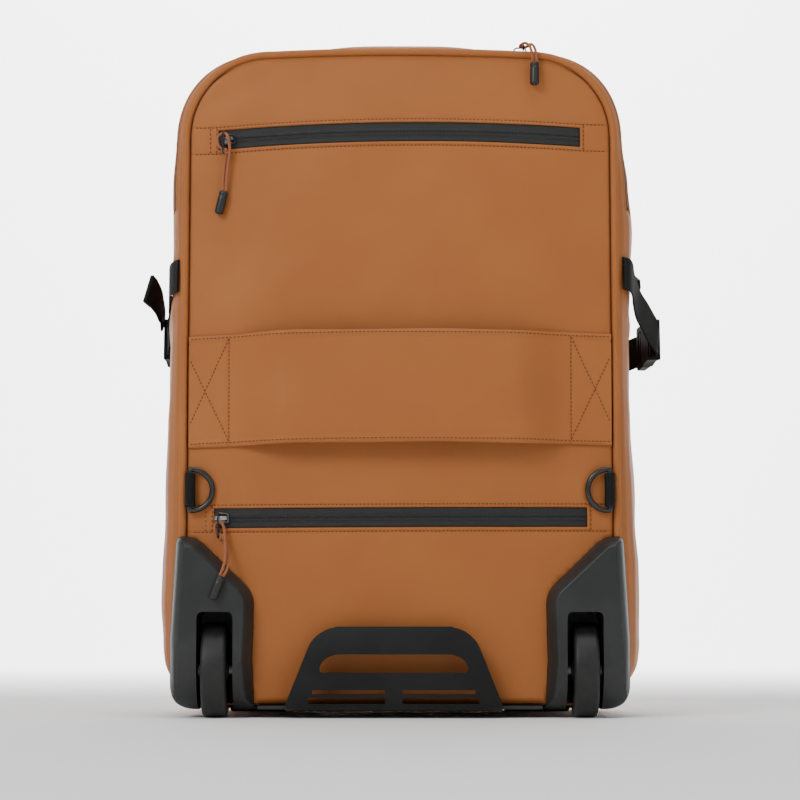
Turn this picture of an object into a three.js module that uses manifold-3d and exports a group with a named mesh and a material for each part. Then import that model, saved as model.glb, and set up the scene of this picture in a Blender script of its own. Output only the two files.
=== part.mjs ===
// A wheeled backpack, standing on its two wheels and two front feet. Millimetres, +Z up.
// The side worn against the back faces -Y. The origin is on the floor, under the middle.
import * as THREE from 'three';
import { mergeVertices } from 'three/addons/utils/BufferGeometryUtils.js';
import Module from 'manifold-3d';

const wasm = await Module();
wasm.setup();

// The bag's seam outline, seen from behind, and its two seam planes
const BAG_BOTTOM = 9.2;
const BAG_TOP = 498;
const BAG_HALF_BOTTOM = 162;
const BAG_HALF_TOP = 160;
const TOP_CORNER = 62;
const BOTTOM_CORNER = 34;
const TOP_CROWN = 2.5;
const BACK_SEAM_Y = -92;
const FRONT_SEAM_Y = 98;

// Cloth, piping and webbing
const CLOTH = 2;
const PIPING_R = 2.8;
const WEBBING = 1.6;
const WEBBING_WIDTH = 25;
const GAP = 0.3;

// How far the panels and the gusset swell
const BACK_BULGE = 14;
const FRONT_BULGE = 23;
const SIDE_BULGE = 21;
const TOP_BULGE = 12;
const CORNER_BULGE = 4;

// Luggage sleeve
const SLEEVE_HEIGHT = 83.4;
const SLEEVE_MIDDLE_Z = 244;
const SLEEVE_SEAM_X = 127;
const SLEEVE_STAND_OFF = 15.5;
const SLEEVE_THICK = 2.4;
const SLEEVE_FLAT = 82;

// Zips let into the back panel
const ZIP_OPENING = 15;
const ZIP_SUNK = 0.8;
const ZIP_TAPE = 1.2;
const ZIP_RIDGE_HALF = 2.4;
const ZIP_RIDGE = 0.6;
const UPPER_ZIP = { left: -136, right: 135, zLeft: 430.1, zMiddle: 435.8, zRight: 432.5 };
const LOWER_ZIP = { left: -138, right: 139, zLeft: 147, zMiddle: 147.7, zRight: 148 };

// Main zip, over the top of the gusset just in front of the back piping
const MAIN_ZIP_Y = -72;
const MAIN_ZIP_WIDTH = 12;
const MAIN_ZIP_END_Z = 380;

// Zip sliders, links, cords and cord ends
const SLIDER_LONG = 11;
const SLIDER_WIDE = 9;
const SLIDER_BASE = 2;
const BEAM = 1.2;
const BEAM_WIDE = 2.8;
const LINK_LONG = 19;
const LINK_WIRE = 1.2;
const LINK_WIDE = 1.4;
const CORD_D = 2.2;
const CORD_END_D = 6.8;
const CORD_END_LONG = 17.5;

// Wheels and their housings
const WHEEL_R = 35;
const WHEEL_WIDTH = 18.6;
const WHEEL_X = 137;
const WHEEL_Y = -85;
const AXLE_R = 4;
const TYRE_INNER_R = 24;
const SLOT_X = 136.2;
const SLOT_WIDTH = 26.6;
const SLOT_TOP = 78;
const SLOT_CORNER = 5;
const WHEEL_CLEAR = 4;
const HOUSING_BACK_Y = -112;
const HOUSING_CHAMFER_Y = -97;
const HOUSING_WALL = 3;
const HOUSING_BORDER = 7.5;
const HOUSING_UNDER_R = 34;

// Moulded bottom handle
const HANDLE_X = -4.5;
const HANDLE_TOP = 66.5;
const HANDLE_TOP_HALF = 57;
const HANDLE_FOOT_HALF = 80;
const HANDLE_BOTTOM = 5.2;
const HANDLE_THICK = 4;
const GRIP_HALF = 54.5;
const GRIP_BOTTOM = 33.5;
const GRIP_HEIGHT = 13.4;
const GRIP_END_ROUND = 15;
const GRIP_LOW_CORNER = 2;
const SLOT_ROWS = [{ z: 17.9, height: 2.8, half: 59.8 }, { z: 10.7, height: 4.4, half: 62.8 }];
const SLOT_WEB_HALF = 6.3;

// Base plate under the bag and the two front feet
const PLATE_THICK = 2.6;
const PLATE_BACK_Y = -96.3;
const PLATE_DEPTH = 50;
const FOOT = { x: 108, y: 62, length: 56, width: 24, taper: 3 };

// D-rings, 34 mm high, on webbing loops sewn into the back seam
const RING_Z = 168;
const RING_WIRE_R = 2;
const RING_HALF_HEIGHT = 15.2;
const RING_BAR_IN = 4.5;
const RING_LOOP_HEIGHT = 25;

// Side compression straps
const STRAP_Z = 329;
const BUCKLE_WIDE = 34;
const BUCKLE_THICK = 8.4;
const SOCKET_LONG = 30;
const PLUG_LONG = 26;

// Tables, with shares of the named sizes above

// How the gusset swells from the back seam to the front seam
const GUSSET_DEPTHS = [
  { depth: 0, side: 0, top: 0 },
  { depth: 0.04, side: 0.42, top: 0.2 },
  { depth: 0.09, side: 0.72, top: 0.35 },
  { depth: 0.18, side: 0.9, top: 0.6 },
  { depth: 0.3, side: 1, top: 0.87 },
  { depth: 0.5, side: 0.97, top: 1 },
  { depth: 0.68, side: 0.88, top: 0.97 },
  { depth: 0.86, side: 0.6, top: 0.65 },
  { depth: 1, side: 0, top: 0 },
];

// How far each side swells at each share of the bag's height: pinched at the straps, full below
const SIDE_HEIGHTS = [
  { height: 0, left: 0.55, right: 0.62 },
  { height: 0.095, left: 0.88, right: 0.95 },
  { height: 0.15, left: 0.96, right: 0.96 },
  { height: 0.21, left: 0.9, right: 0.94 },
  { height: 0.28, left: 0.84, right: 0.84 },
  { height: 0.43, left: 0.78, right: 0.71 },
  { height: 0.5, left: 0.71, right: 0.64 },
  { height: 0.59, left: 0.67, right: 0.65 },
  { height: 0.64, left: 0.6, right: 0.72 },
  { height: 0.725, left: 0.62, right: 0.84 },
  { height: 0.8, left: 0.63, right: 0.68 },
  { height: 0.87, left: 0.52, right: 0.48 },
  { height: 1, left: 0.4, right: 0.4 },
];

// The wheel housing's outline seen from behind, x away from the middle, each corner with its radius
const HOUSING_OUTLINE = [
  { x: 165.6, z: 134.5, r: 6 },
  { x: 150, z: 132.5, r: 18 },
  { x: 107, z: 92, r: 22 },
  { x: 109.2, z: 42, r: 30 },
  { x: 106, z: 5.8, r: 1 },
  { x: 169.8, z: 5.8, r: 20 },
  { x: 170, z: 58, r: 40 },
];

// How the housing's outline draws in from its sides to its back face
const HOUSING_SECTIONS = [
  { back: 0, inset: 0 },
  { back: 0.3, inset: 0.12 },
  { back: 0.7, inset: 0.45 },
  { back: 1, inset: 1 },
];

// The middle line of the bottom handle's wall, from the base plate's edge up to its top edge
const HANDLE_PROFILE = [
  { y: -96.6, z: 7.2 },
  { y: -101, z: 7.3 },
  { y: -106.5, z: 9 },
  { y: -111, z: 14.5 },
  { y: -113, z: 24 },
  { y: -114, z: 46 },
  { y: -112.5, z: 67 },
];

// Routes of the three pull cords: out of the cord end, up through the link and back to the cord end
const UPPER_CORD_ROUTE = [
  [-129.9, -100.8, 391.2], [-129.5, -101.1, 397], [-129, -101.5, 404], [-128.4, -101.7, 411],
  [-127.5, -102.3, 417], [-127.1, -102.8, 421.5], [-127.3, -103.3, 425.5], [-127.9, -103.6, 429],
  [-128.6, -103.2, 432], [-129.9, -101.8, 434], [-131.3, -101.2, 434.5], [-133.2, -101.2, 434.2],
  [-136.1, -101.6, 432], [-136.4, -101.7, 428.4], [-135.3, -101.6, 425], [-133.2, -101.4, 422.8],
  [-131.3, -101.4, 421.9], [-130, -101.1, 420.6], [-129.9, -100.2, 416.4], [-130.9, -99.7, 410],
  [-131.7, -99.9, 403], [-132.2, -100.3, 396], [-132.3, -100.6, 391.4],
];
const LOWER_CORD_ROUTE = [
  [-132.1, -116, 104.5], [-130.2, -115.8, 109], [-128.8, -114.6, 114], [-128.3, -112.6, 119],
  [-128.4, -110.2, 124], [-128.8, -107.8, 129], [-129.3, -105.6, 133], [-129.6, -103.6, 136.5],
  [-130.1, -102.9, 140], [-131.6, -102.3, 142.9], [-133.9, -102, 144.2], [-136.3, -102.1, 142.7],
  [-137.1, -102.2, 139.6], [-136.5, -102.2, 136.9], [-135, -102.1, 135.4], [-133.6, -102.1, 135],
  [-131.7, -102.3, 134], [-130.2, -102.6, 131.4], [-128.6, -103.8, 127.5], [-127.3, -106.2, 122.8],
  [-126.5, -109, 117.8], [-126.4, -112, 112.8], [-127.3, -114.6, 108.2], [-129.8, -116, 103.6],
];
const MAIN_CORD_ROUTE = [
  [99.6, -99.6, 488.9], [99.2, -100.3, 493], [98.4, -100.3, 497.3], [97.2, -98.9, 500.8],
  [95.6, -96.2, 503.2], [93.9, -92.8, 504.6], [92, -89.4, 504.6], [90.6, -86.6, 503.8],
  [90.9, -84.4, 503.4], [93.2, -83.6, 503.2], [95.5, -84.2, 503.4], [96.9, -86.6, 503.9],
  [98, -89.8, 504.2], [99.4, -93.2, 503.2], [100.7, -96.4, 500.8], [101.6, -98.6, 497.4],
  [102.1, -99.4, 493.4], [102.3, -99.4, 488.9],
];

// The three zips' pulls: slider place, how far the link stands past it, and the cord end's axis
const UPPER_PULL = {
  sliderX: -128.6, linkX: -131.3, linkPast: 6.4,
  endTop: [-131.25, -100.6, 390.8], endDown: [-0.23, 0, -0.973],
};
const LOWER_PULL = {
  sliderX: -132, linkX: -133.5, linkPast: 3.8,
  endTop: [-131.1, -116, 103.6], endDown: [-0.375, 0, -0.927],
};
const MAIN_PULL = {
  sliderX: 91, linkX: 93.2, linkPast: 3.8,
  endTop: [100.9, -99.4, 488.5], endDown: [-0.02, -0.12, -0.99],
};

// Side straps: each point's depth, its height from STRAP_Z and how far it stands off the gusset's
// face, and for a tail the direction of the webbing's width. A buckle's row is its socket's middle
// and the direction in which the plug follows
const STRAPS = {
  left: {
    rear: [[-87.4, 0, 1.2], [-81, -0.5, 1.6], [-72, -1.5, 1.5], [-58, -5, 1.6], [-35, -14, 1.6],
      [-15, -28, 1.6]],
    front: [[76, -46, 1.2], [84, -47, 1], [93, -47, 0.8]],
    tail: [
      [7, -29, 9.9, [0, 1, 0]], [3, -19, 10.8, [0.05, 0.95, 0.2]],
      [-9, -8.5, 14.4, [0.12, 0.6, 0.7]], [-20, -1.5, 20.2, [0.15, 0.4, 0.9]],
    ],
    buckle: [16, -40, 1.1, [0.03, 1, -0.1]],
  },
  right: {
    rear: [[-87.4, 2, 1.8], [-81, 1.5, 2.4], [-72, 0, 2.3], [-60, -4, 4.2], [-46, -14, 10],
      [-33, -27, 16.2]],
    front: [[64, -48, 7], [78, -49, 2], [86, -50, 1], [93, -50, 0.8]],
    tail: [
      [-1, -22.7, 17.4, [0, 1, 0]], [-2, -15, 12.8, [0, 1, 0]],
      [-7, -4, 8.0, [-0.05, 1, 0.1]], [-11, 8, 5.3, [-0.1, 1, 0.1]],
    ],
    buckle: [-2, -41.5, 16.9, [-0.12, 1, -0.06]],
  },
};
// The width of a strap that lies on the gusset
const STRAP_ACROSS = [0, 0.12, 1];

// Helpers

/** Reading of a table between rows sorted on key: straight, or eased from row to row. */
function readTable(rows, key, column, at, eased = false) {
  const last = rows.length - 1;
  if (at <= rows[0][key]) return rows[0][column];
  if (at >= rows[last][key]) return rows[last][column];
  const i = rows.findIndex((row) => row[key] > at);
  const a = rows[i - 1];
  const b = rows[i];
  const t = (at - a[key]) / (b[key] - a[key]);
  return a[column] + (b[column] - a[column]) * (eased ? t * t * (3 - 2 * t) : t);
}

/** Turns a mesh's faces out when its signed volume is negative. */
function facingOut(geometry) {
  const p = geometry.attributes.position.array;
  const index = geometry.index.array;
  let volume = 0;
  for (let i = 0; i < index.length; i += 3) {
    const [a, b, c] = [index[i] * 3, index[i + 1] * 3, index[i + 2] * 3];
    volume += p[a] * (p[b + 1] * p[c + 2] - p[b + 2] * p[c + 1])
      + p[a + 1] * (p[b + 2] * p[c] - p[b] * p[c + 2])
      + p[a + 2] * (p[b] * p[c + 1] - p[b + 1] * p[c]);
  }
  if (volume < 0) {
    for (let i = 0; i < index.length; i += 3) {
      [index[i + 1], index[i + 2]] = [index[i + 2], index[i + 1]];
    }
  }
  return geometry;
}

/** A closed mesh through rings of points. The ends are capped, or joined to each other. */
function solidFromRings(rings, joined = false) {
  const count = rings[0].length;
  const points = rings.flat();
  const index = [];
  const bands = joined ? rings.length : rings.length - 1;
  for (let r = 0; r < bands; r++) {
    const a = r * count;
    const b = ((r + 1) % rings.length) * count;
    for (let i = 0; i < count; i++) {
      const j = (i + 1) % count;
      index.push(a + i, a + j, b + j, a + i, b + j, b + i);
    }
  }
  if (!joined) {
    for (const first of [true, false]) {
      const ring = first ? rings[0] : rings[rings.length - 1];
      const start = first ? 0 : (rings.length - 1) * count;
      const middle = [0, 1, 2].map((k) => ring.reduce((sum, p) => sum + p[k], 0) / count);
      points.push(middle);
      for (let i = 0; i < count; i++) {
        const j = (i + 1) % count;
        if (first) index.push(points.length - 1, start + j, start + i);
        else index.push(points.length - 1, start + i, start + j);
      }
    }
  }
  const geometry = new THREE.BufferGeometry();
  geometry.setAttribute('position', new THREE.Float32BufferAttribute(points.flat(), 3));
  geometry.setIndex(index);
  return facingOut(geometry);
}

/** A geometry with only its merged positions, turned out. */
function merged(geometry) {
  const copy = geometry.clone();
  copy.deleteAttribute('normal');
  copy.deleteAttribute('uv');
  return facingOut(mergeVertices(copy, 1e-4));
}

function toSolid(geometry) {
  const mesh = merged(geometry);
  return new wasm.Manifold(new wasm.Mesh({
    numProp: 3,
    vertProperties: new Float32Array(mesh.attributes.position.array),
    triVerts: new Uint32Array(mesh.index.array),
  }));
}

function toGeometry(solid) {
  const mesh = solid.getMesh();
  const geometry = new THREE.BufferGeometry();
  geometry.setAttribute('position', new THREE.BufferAttribute(mesh.vertProperties, 3));
  geometry.setIndex(new THREE.BufferAttribute(mesh.triVerts, 1));
  return geometry;
}

/** The first shape with the others joined to it. */
function joinAll(first, ...others) {
  return toGeometry(others.reduce((solid, other) => solid.add(toSolid(other)), toSolid(first)));
}

/** The first shape with the others cut out of it. */
function cutAll(first, ...others) {
  return toGeometry(others.reduce((solid, other) => solid.subtract(toSolid(other)), toSolid(first)));
}

/** What two shapes have in common. */
function meet(first, second) {
  return toGeometry(toSolid(first).intersect(toSolid(second)));
}

function box(low, high) {
  const size = high.map((value, k) => value - low[k]);
  const geometry = new THREE.BoxGeometry(...size);
  geometry.translate(...low.map((value, k) => value + size[k] / 2));
  return geometry;
}

/** Corner points with radii made into an outline whose corners are arcs. */
function roundedOutline(corners, steps) {
  const outline = [];
  corners.forEach((corner, i) => {
    const before = corners[(i + corners.length - 1) % corners.length];
    const after = corners[(i + 1) % corners.length];
    const at = new THREE.Vector2(corner.x, corner.z);
    const toBefore = new THREE.Vector2(before.x, before.z).sub(at);
    const toAfter = new THREE.Vector2(after.x, after.z).sub(at);
    const angle = Math.abs(toBefore.angleTo(toAfter));
    const reach = 0.48 * Math.min(toBefore.length(), toAfter.length());
    const cut = Math.min(corner.r / Math.tan(angle / 2), reach);
    const start = toBefore.setLength(cut).add(at);
    const end = toAfter.setLength(cut).add(at);
    for (let k = 0; k <= steps; k++) {
      const t = k / steps;
      const a = start.clone().lerp(at, t);
      const b = at.clone().lerp(end, t);
      outline.push(a.lerp(b, t));
    }
  });
  return outline;
}

/** The corners of an outline, listed counterclockwise, with its edges moved inwards by a distance. */
function insetCorners(corners, distance) {
  return corners.map((corner, i) => {
    const before = corners[(i + corners.length - 1) % corners.length];
    const after = corners[(i + 1) % corners.length];
    const a = new THREE.Vector2(before.x - corner.x, before.z - corner.z).normalize();
    const b = new THREE.Vector2(after.x - corner.x, after.z - corner.z).normalize();
    const move = distance / b.cross(a);
    return {
      x: corner.x + (a.x + b.x) * move, z: corner.z + (a.y + b.y) * move,
      r: Math.max(corner.r - distance, 1),
    };
  });
}

/** An outline in x and z carried straight from one y to another. */
function plateAlongY(outline, fromY, toY) {
  return solidFromRings([fromY, toY].map((y) => outline.map((p) => [p.x, y, p.y])));
}

/** A profile in y and z carried straight from one x to another. */
function barAlongX(profile, fromX, toX) {
  const shape = new THREE.Shape(profile.map(([y, z]) => new THREE.Vector2(y, z)));
  const bar = new THREE.ExtrudeGeometry(shape, { depth: toX - fromX, bevelEnabled: false });
  const place = new THREE.Matrix4().makeBasis(
    new THREE.Vector3(0, 1, 0), new THREE.Vector3(0, 0, 1), new THREE.Vector3(1, 0, 0));
  return merged(bar.applyMatrix4(place.setPosition(fromX, 0, 0)));
}

/** A flat shape, its x along one direction and its y across, with a thickness along the normal. */
function placedPlate(shape, thickness, at, along, across) {
  const a = new THREE.Vector3(...along).normalize();
  const n = new THREE.Vector3().crossVectors(a, new THREE.Vector3(...across)).normalize();
  const w = new THREE.Vector3().crossVectors(n, a);
  const plate = new THREE.ExtrudeGeometry(shape, {
    depth: thickness, bevelEnabled: false, curveSegments: 5,
  });
  plate.translate(0, 0, -thickness / 2);
  plate.applyMatrix4(new THREE.Matrix4().makeBasis(a, w, n).setPosition(...at));
  return plate;
}

function roundedRectangle(length, width, radius, target = new THREE.Shape()) {
  const [l, w] = [length / 2, width / 2];
  target.moveTo(l - radius, -w);
  target.absarc(l - radius, -w + radius, radius, -Math.PI / 2, 0);
  target.absarc(l - radius, w - radius, radius, 0, Math.PI / 2);
  target.absarc(-l + radius, w - radius, radius, Math.PI / 2, Math.PI);
  target.absarc(-l + radius, -w + radius, radius, Math.PI, 1.5 * Math.PI);
  target.closePath();
  return target;
}

/** Flat webbing along rows of centre points, each with the direction of its width. */
function webbing(rows, steps) {
  const path = new THREE.CatmullRomCurve3(rows.map((row) => new THREE.Vector3(...row.at)));
  const rings = [];
  for (let i = 0; i <= steps; i++) {
    const t = i / steps;
    const place = t * (rows.length - 1);
    const k = Math.min(Math.floor(place), rows.length - 2);
    const across = new THREE.Vector3(...rows[k].across)
      .lerp(new THREE.Vector3(...rows[k + 1].across), place - k);
    const along = path.getTangent(t);
    const normal = new THREE.Vector3().crossVectors(along, across).normalize();
    const width = new THREE.Vector3().crossVectors(normal, along);
    const at = path.getPoint(t);
    rings.push([[-1, -1], [1, -1], [1, 1], [-1, 1]].map(([u, v]) => at.clone()
      .addScaledVector(width, u * WEBBING_WIDTH / 2)
      .addScaledVector(normal, v * WEBBING / 2).toArray()));
  }
  return solidFromRings(rings);
}

// The bag's form

const bagHeight = BAG_TOP - BAG_BOTTOM;
const bagMiddle = (BAG_TOP + BAG_BOTTOM) / 2;

function bagHalf(z) {
  return BAG_HALF_BOTTOM + (BAG_HALF_TOP - BAG_HALF_BOTTOM) * (z - BAG_BOTTOM) / bagHeight;
}

/** The seam outline, once round from the bottom's middle, each point with its outward normal. */
function seamLoop() {
  const half = [];
  const topStraight = BAG_HALF_TOP - TOP_CORNER;
  const bottomStraight = BAG_HALF_BOTTOM - BOTTOM_CORNER;
  for (let i = 0; i <= 2; i++) half.push([bottomStraight * i / 2, BAG_BOTTOM, 0, -1]);
  for (let i = 1; i <= 4; i++) {
    const a = -Math.PI / 2 + Math.PI / 2 * i / 4;
    half.push([bottomStraight + BOTTOM_CORNER * Math.cos(a),
      BAG_BOTTOM + BOTTOM_CORNER * (1 + Math.sin(a)), Math.cos(a), Math.sin(a)]);
  }
  const sideLow = BAG_BOTTOM + BOTTOM_CORNER;
  const sideHigh = BAG_TOP - TOP_CROWN - TOP_CORNER;
  for (let i = 1; i <= 10; i++) {
    const z = sideLow + (sideHigh - sideLow) * i / 10;
    half.push([bagHalf(z), z, 1, 0]);
  }
  for (let i = 1; i <= 6; i++) {
    const a = Math.PI / 2 * i / 6;
    half.push([topStraight + TOP_CORNER * Math.cos(a), sideHigh + TOP_CORNER * Math.sin(a),
      Math.cos(a), Math.sin(a)]);
  }
  for (let i = 1; i <= 3; i++) {
    const x = topStraight * (1 - i / 3);
    half.push([x, BAG_TOP - TOP_CROWN * (x / topStraight) ** 2, 0, 1]);
  }
  const other = half.slice(1, -1).reverse().map(([x, z, nx, nz]) => [-x, z, -nx, nz]);
  return [...half, ...other].map(([x, z, nx, nz]) => ({ x, z, nx, nz }));
}

const seam = seamLoop();

/** The worn panel's outer face: two swelling curves, across and up, multiplied. */
function backPanelY(x, z) {
  const across = 1 - Math.min(Math.abs(x) / BAG_HALF_TOP, 1) ** 2.4;
  const up = 1 - Math.min(Math.abs(z - bagMiddle) / (bagHeight / 2), 1) ** 4;
  return BACK_SEAM_Y - BACK_BULGE * across * up;
}

function frontPanelY(x, z) {
  const across = 1 - Math.min(Math.abs(x) / BAG_HALF_TOP, 1) ** 3;
  const up = 1 - Math.min(Math.abs(z - bagMiddle) / (bagHeight / 2), 1) ** 4;
  return FRONT_SEAM_Y + FRONT_BULGE * across * up;
}

/** How far the gusset stands out of the seam outline at one point and depth. */
function gussetSwell(point, y) {
  const depth = (y - BACK_SEAM_Y) / (FRONT_SEAM_Y - BACK_SEAM_Y);
  const height = (point.z - BAG_BOTTOM) / bagHeight;
  const side = readTable(SIDE_HEIGHTS, 'height', point.nx < 0 ? 'left' : 'right', height, true);
  const sideSwell = SIDE_BULGE * side * readTable(GUSSET_DEPTHS, 'depth', 'side', depth);
  const topSwell = TOP_BULGE * readTable(GUSSET_DEPTHS, 'depth', 'top', depth);
  const cornerSwell = 4 * CORNER_BULGE * readTable(GUSSET_DEPTHS, 'depth', 'side', depth);
  const top = point.nz > 0 ? point.nz ** 2 * (topSwell + point.nx ** 2 * cornerSwell) : 0;
  return point.nx ** 2 * sideSwell + top;
}

function gussetPoint(point, y, out) {
  const swell = gussetSwell(point, y) + out;
  return [point.x + point.nx * swell, y, point.z + point.nz * swell];
}

/** The gusset's outer face on one side, as an x, at a depth and height. */
function sideX(side, y, z) {
  const point = { x: side * bagHalf(z), z, nx: side, nz: 0 };
  return gussetPoint(point, y, 0)[0];
}

/** A hollow-backed wall over the whole seam outline, its outer face given by a function. */
function panelWall(faceY, thickness, bottomInset) {
  const shares = [0.2, 0.48, 0.72, 0.9, 1];
  const rim = seam.map((p) => {
    const inset = p.nz < -0.5 ? bottomInset : PIPING_R + GAP;
    return [p.x - p.nx * inset, p.z - p.nz * inset];
  });
  const layer = (share, inward) => rim.map(([x, z]) => {
    const [px, pz] = [x * share, bagMiddle + (z - bagMiddle) * share];
    return [px, faceY(px, pz) + inward, pz];
  });
  const outer = shares.map((share) => layer(share, 0));
  const inner = shares.slice().reverse().map((share) => layer(share, thickness));
  return solidFromRings([...outer, ...inner]);
}

// Zips

function zipZ(zip, x) {
  const middle = (zip.left + zip.right) / 2;
  const t = (x - middle) / ((zip.right - zip.left) / 2);
  const straight = (zip.zLeft + zip.zRight) / 2 + t * (zip.zRight - zip.zLeft) / 2;
  return straight + (zip.zMiddle - (zip.zLeft + zip.zRight) / 2) * (1 - t * t);
}

/** A strip along a zip in the back panel, its section given as offsets in y and z. */
function zipStrip(zip, endGap, section) {
  const rings = [];
  const steps = 8;
  for (let i = 0; i <= steps; i++) {
    const x = zip.left + endGap + (zip.right - zip.left - 2 * endGap) * i / steps;
    const z = zipZ(zip, x);
    rings.push(section.map(([dy, dz]) => [x, backPanelY(x, z) + dy, z + dz]));
  }
  return solidFromRings(rings);
}

function tapeSection(half) {
  const face = ZIP_SUNK;
  return [
    [face, -half], [face, -ZIP_RIDGE_HALF], [face - ZIP_RIDGE, -ZIP_RIDGE_HALF],
    [face - ZIP_RIDGE, ZIP_RIDGE_HALF], [face, ZIP_RIDGE_HALF], [face, half],
    [face + ZIP_TAPE, half], [face + ZIP_TAPE, -half],
  ];
}

function zipWindow(zip) {
  const half = ZIP_OPENING / 2;
  return zipStrip(zip, 0, [[-10, -half], [-10, half], [10, half], [10, -half]]);
}

function zipTape(zip) {
  return zipStrip(zip, GAP, tapeSection(ZIP_OPENING / 2 - GAP));
}

/** The seam points that the main zip runs past, with its two ends cut to one height. */
function mainZipPoints(endZ) {
  return seam.filter((p) => p.z > endZ && p.nz >= 0);
}

/** A strip along the main zip: its section is given as offsets in y and out of the gusset. */
function mainZipStrip(endZ, section) {
  return solidFromRings(mainZipPoints(endZ).map((p) => section.map(([dy, out]) => {
    const [x, , z] = gussetPoint(p, MAIN_ZIP_Y + dy, out);
    return [x, MAIN_ZIP_Y + dy, z];
  })));
}

/** Where a slider sits: its frame runs along the zip, across it and out of it. */
function sliderFrame(pull, zip) {
  if (zip) {
    const z = zipZ(zip, pull.sliderX);
    const y = backPanelY(pull.sliderX, z) + ZIP_SUNK - ZIP_RIDGE;
    const slope = (backPanelY(pull.sliderX + 1, z) - backPanelY(pull.sliderX - 1, z)) / 2;
    return { at: [pull.sliderX, y, z], along: [1, slope, 0], across: [0, 0, 1] };
  }
  const crown = TOP_CROWN * (pull.sliderX / (BAG_HALF_TOP - TOP_CORNER)) ** 2;
  const top = { x: pull.sliderX, z: BAG_TOP - crown, nx: 0, nz: 1 };
  const [behind, before] = [-1, 1].map((side) => (
    gussetPoint(top, MAIN_ZIP_Y + side * MAIN_ZIP_WIDTH / 2, -ZIP_SUNK)[2]));
  return {
    at: [pull.sliderX, MAIN_ZIP_Y, (behind + before) / 2], along: [1, 0, 0],
    across: [0, MAIN_ZIP_WIDTH, before - behind],
  };
}

/** Moves a shape drawn in a slider's frame, along, across and out, to its place. */
function inFrame(geometry, frame, alongShift = 0) {
  const across = new THREE.Vector3(...frame.across).normalize();
  const along = new THREE.Vector3(...frame.along).normalize();
  const out = new THREE.Vector3().crossVectors(along, across);
  const at = new THREE.Vector3(...frame.at).addScaledVector(along, alongShift);
  const matrix = new THREE.Matrix4().makeBasis(along, across, out).setPosition(at);
  return facingOut(merged(geometry).applyMatrix4(matrix));
}

/** A shield-shaped plate with a beam over it, under which the link passes. */
function zipSlider(frame) {
  const low = 2 * GAP;
  const shield = new THREE.Shape();
  shield.moveTo(-SLIDER_LONG / 2, 0);
  shield.quadraticCurveTo(-SLIDER_LONG / 2, SLIDER_WIDE / 2, -SLIDER_LONG / 8, SLIDER_WIDE / 2);
  shield.lineTo(SLIDER_LONG / 2, SLIDER_WIDE * 0.36);
  shield.lineTo(SLIDER_LONG / 2, -SLIDER_WIDE * 0.36);
  shield.lineTo(-SLIDER_LONG / 8, -SLIDER_WIDE / 2);
  shield.quadraticCurveTo(-SLIDER_LONG / 2, -SLIDER_WIDE / 2, -SLIDER_LONG / 2, 0);
  const base = new THREE.ExtrudeGeometry(shield, {
    depth: SLIDER_BASE, bevelEnabled: false, curveSegments: 5,
  });
  base.translate(0, 0, low);
  const inside = low + SLIDER_BASE + LINK_WIRE + 2 * GAP;
  const end = SLIDER_LONG / 2 - 0.4;
  const beam = cutAll(
    box([-end, -BEAM_WIDE / 2, low + SLIDER_BASE / 2], [end, BEAM_WIDE / 2, inside + BEAM]),
    box([-end + BEAM, -BEAM_WIDE, 0], [end - BEAM, BEAM_WIDE, inside]),
  );
  return inFrame(joinAll(base, beam), frame);
}

/** A long wire link standing on edge round the slider's beam, its hole wide enough for the cord. */
function zipLink(frame, pull) {
  const hole = CORD_D + 0.8;
  const ring = roundedRectangle(LINK_LONG, hole + 2 * LINK_WIRE, hole / 2 + LINK_WIRE - 0.01);
  ring.holes.push(roundedRectangle(LINK_LONG - 2 * LINK_WIRE, hole, hole / 2 - 0.01, new THREE.Path()));
  const link = new THREE.ExtrudeGeometry(ring, {
    depth: LINK_WIDE, bevelEnabled: false, curveSegments: 2,
  });
  const low = 3 * GAP + SLIDER_BASE;
  const place = new THREE.Matrix4().makeBasis(
    new THREE.Vector3(0, 1, 0), new THREE.Vector3(0, 0, 1), new THREE.Vector3(1, 0, 0));
  place.setPosition(-LINK_WIDE / 2, pull.linkPast - LINK_LONG / 2, low + hole / 2 + LINK_WIRE);
  return inFrame(link.applyMatrix4(place), frame, pull.linkX - pull.sliderX);
}

/** The cord's tube along its route. */
function pullCord(route) {
  const path = new THREE.CatmullRomCurve3(route.map((p) => new THREE.Vector3(...p)));
  const section = new THREE.Shape();
  section.absarc(0, 0, CORD_D / 2, 0, 2 * Math.PI);
  return new THREE.ExtrudeGeometry(section, {
    steps: route.length - 3, extrudePath: path, bevelEnabled: false, curveSegments: 4,
  });
}

/** The moulded cord end: a short rod with chamfered ends. */
function cordEnd(pull) {
  const r = CORD_END_D / 2;
  const chamfer = 0.8;
  const profile = [[0, 0], [r - chamfer, 0], [r, chamfer], [r, CORD_END_LONG - chamfer],
    [r - chamfer, CORD_END_LONG], [0, CORD_END_LONG]];
  const rod = new THREE.LatheGeometry(profile.map(([x, y]) => new THREE.Vector2(x, y)), 10);
  const down = new THREE.Vector3(...pull.endDown).normalize();
  rod.applyQuaternion(new THREE.Quaternion().setFromUnitVectors(new THREE.Vector3(0, 1, 0), down));
  return rod.translate(...pull.endTop);
}

// Wheels and housings

const slotFrontY = WHEEL_Y + WHEEL_R + WHEEL_CLEAR;
const housingFrontY = slotFrontY + HOUSING_WALL;
const housingLow = HOUSING_OUTLINE[4].z;

function housingOutline(side, inset) {
  const outline = roundedOutline(insetCorners(HOUSING_OUTLINE, inset), 3);
  return outline.map((p) => new THREE.Vector2(side * p.x, p.y));
}

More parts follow.
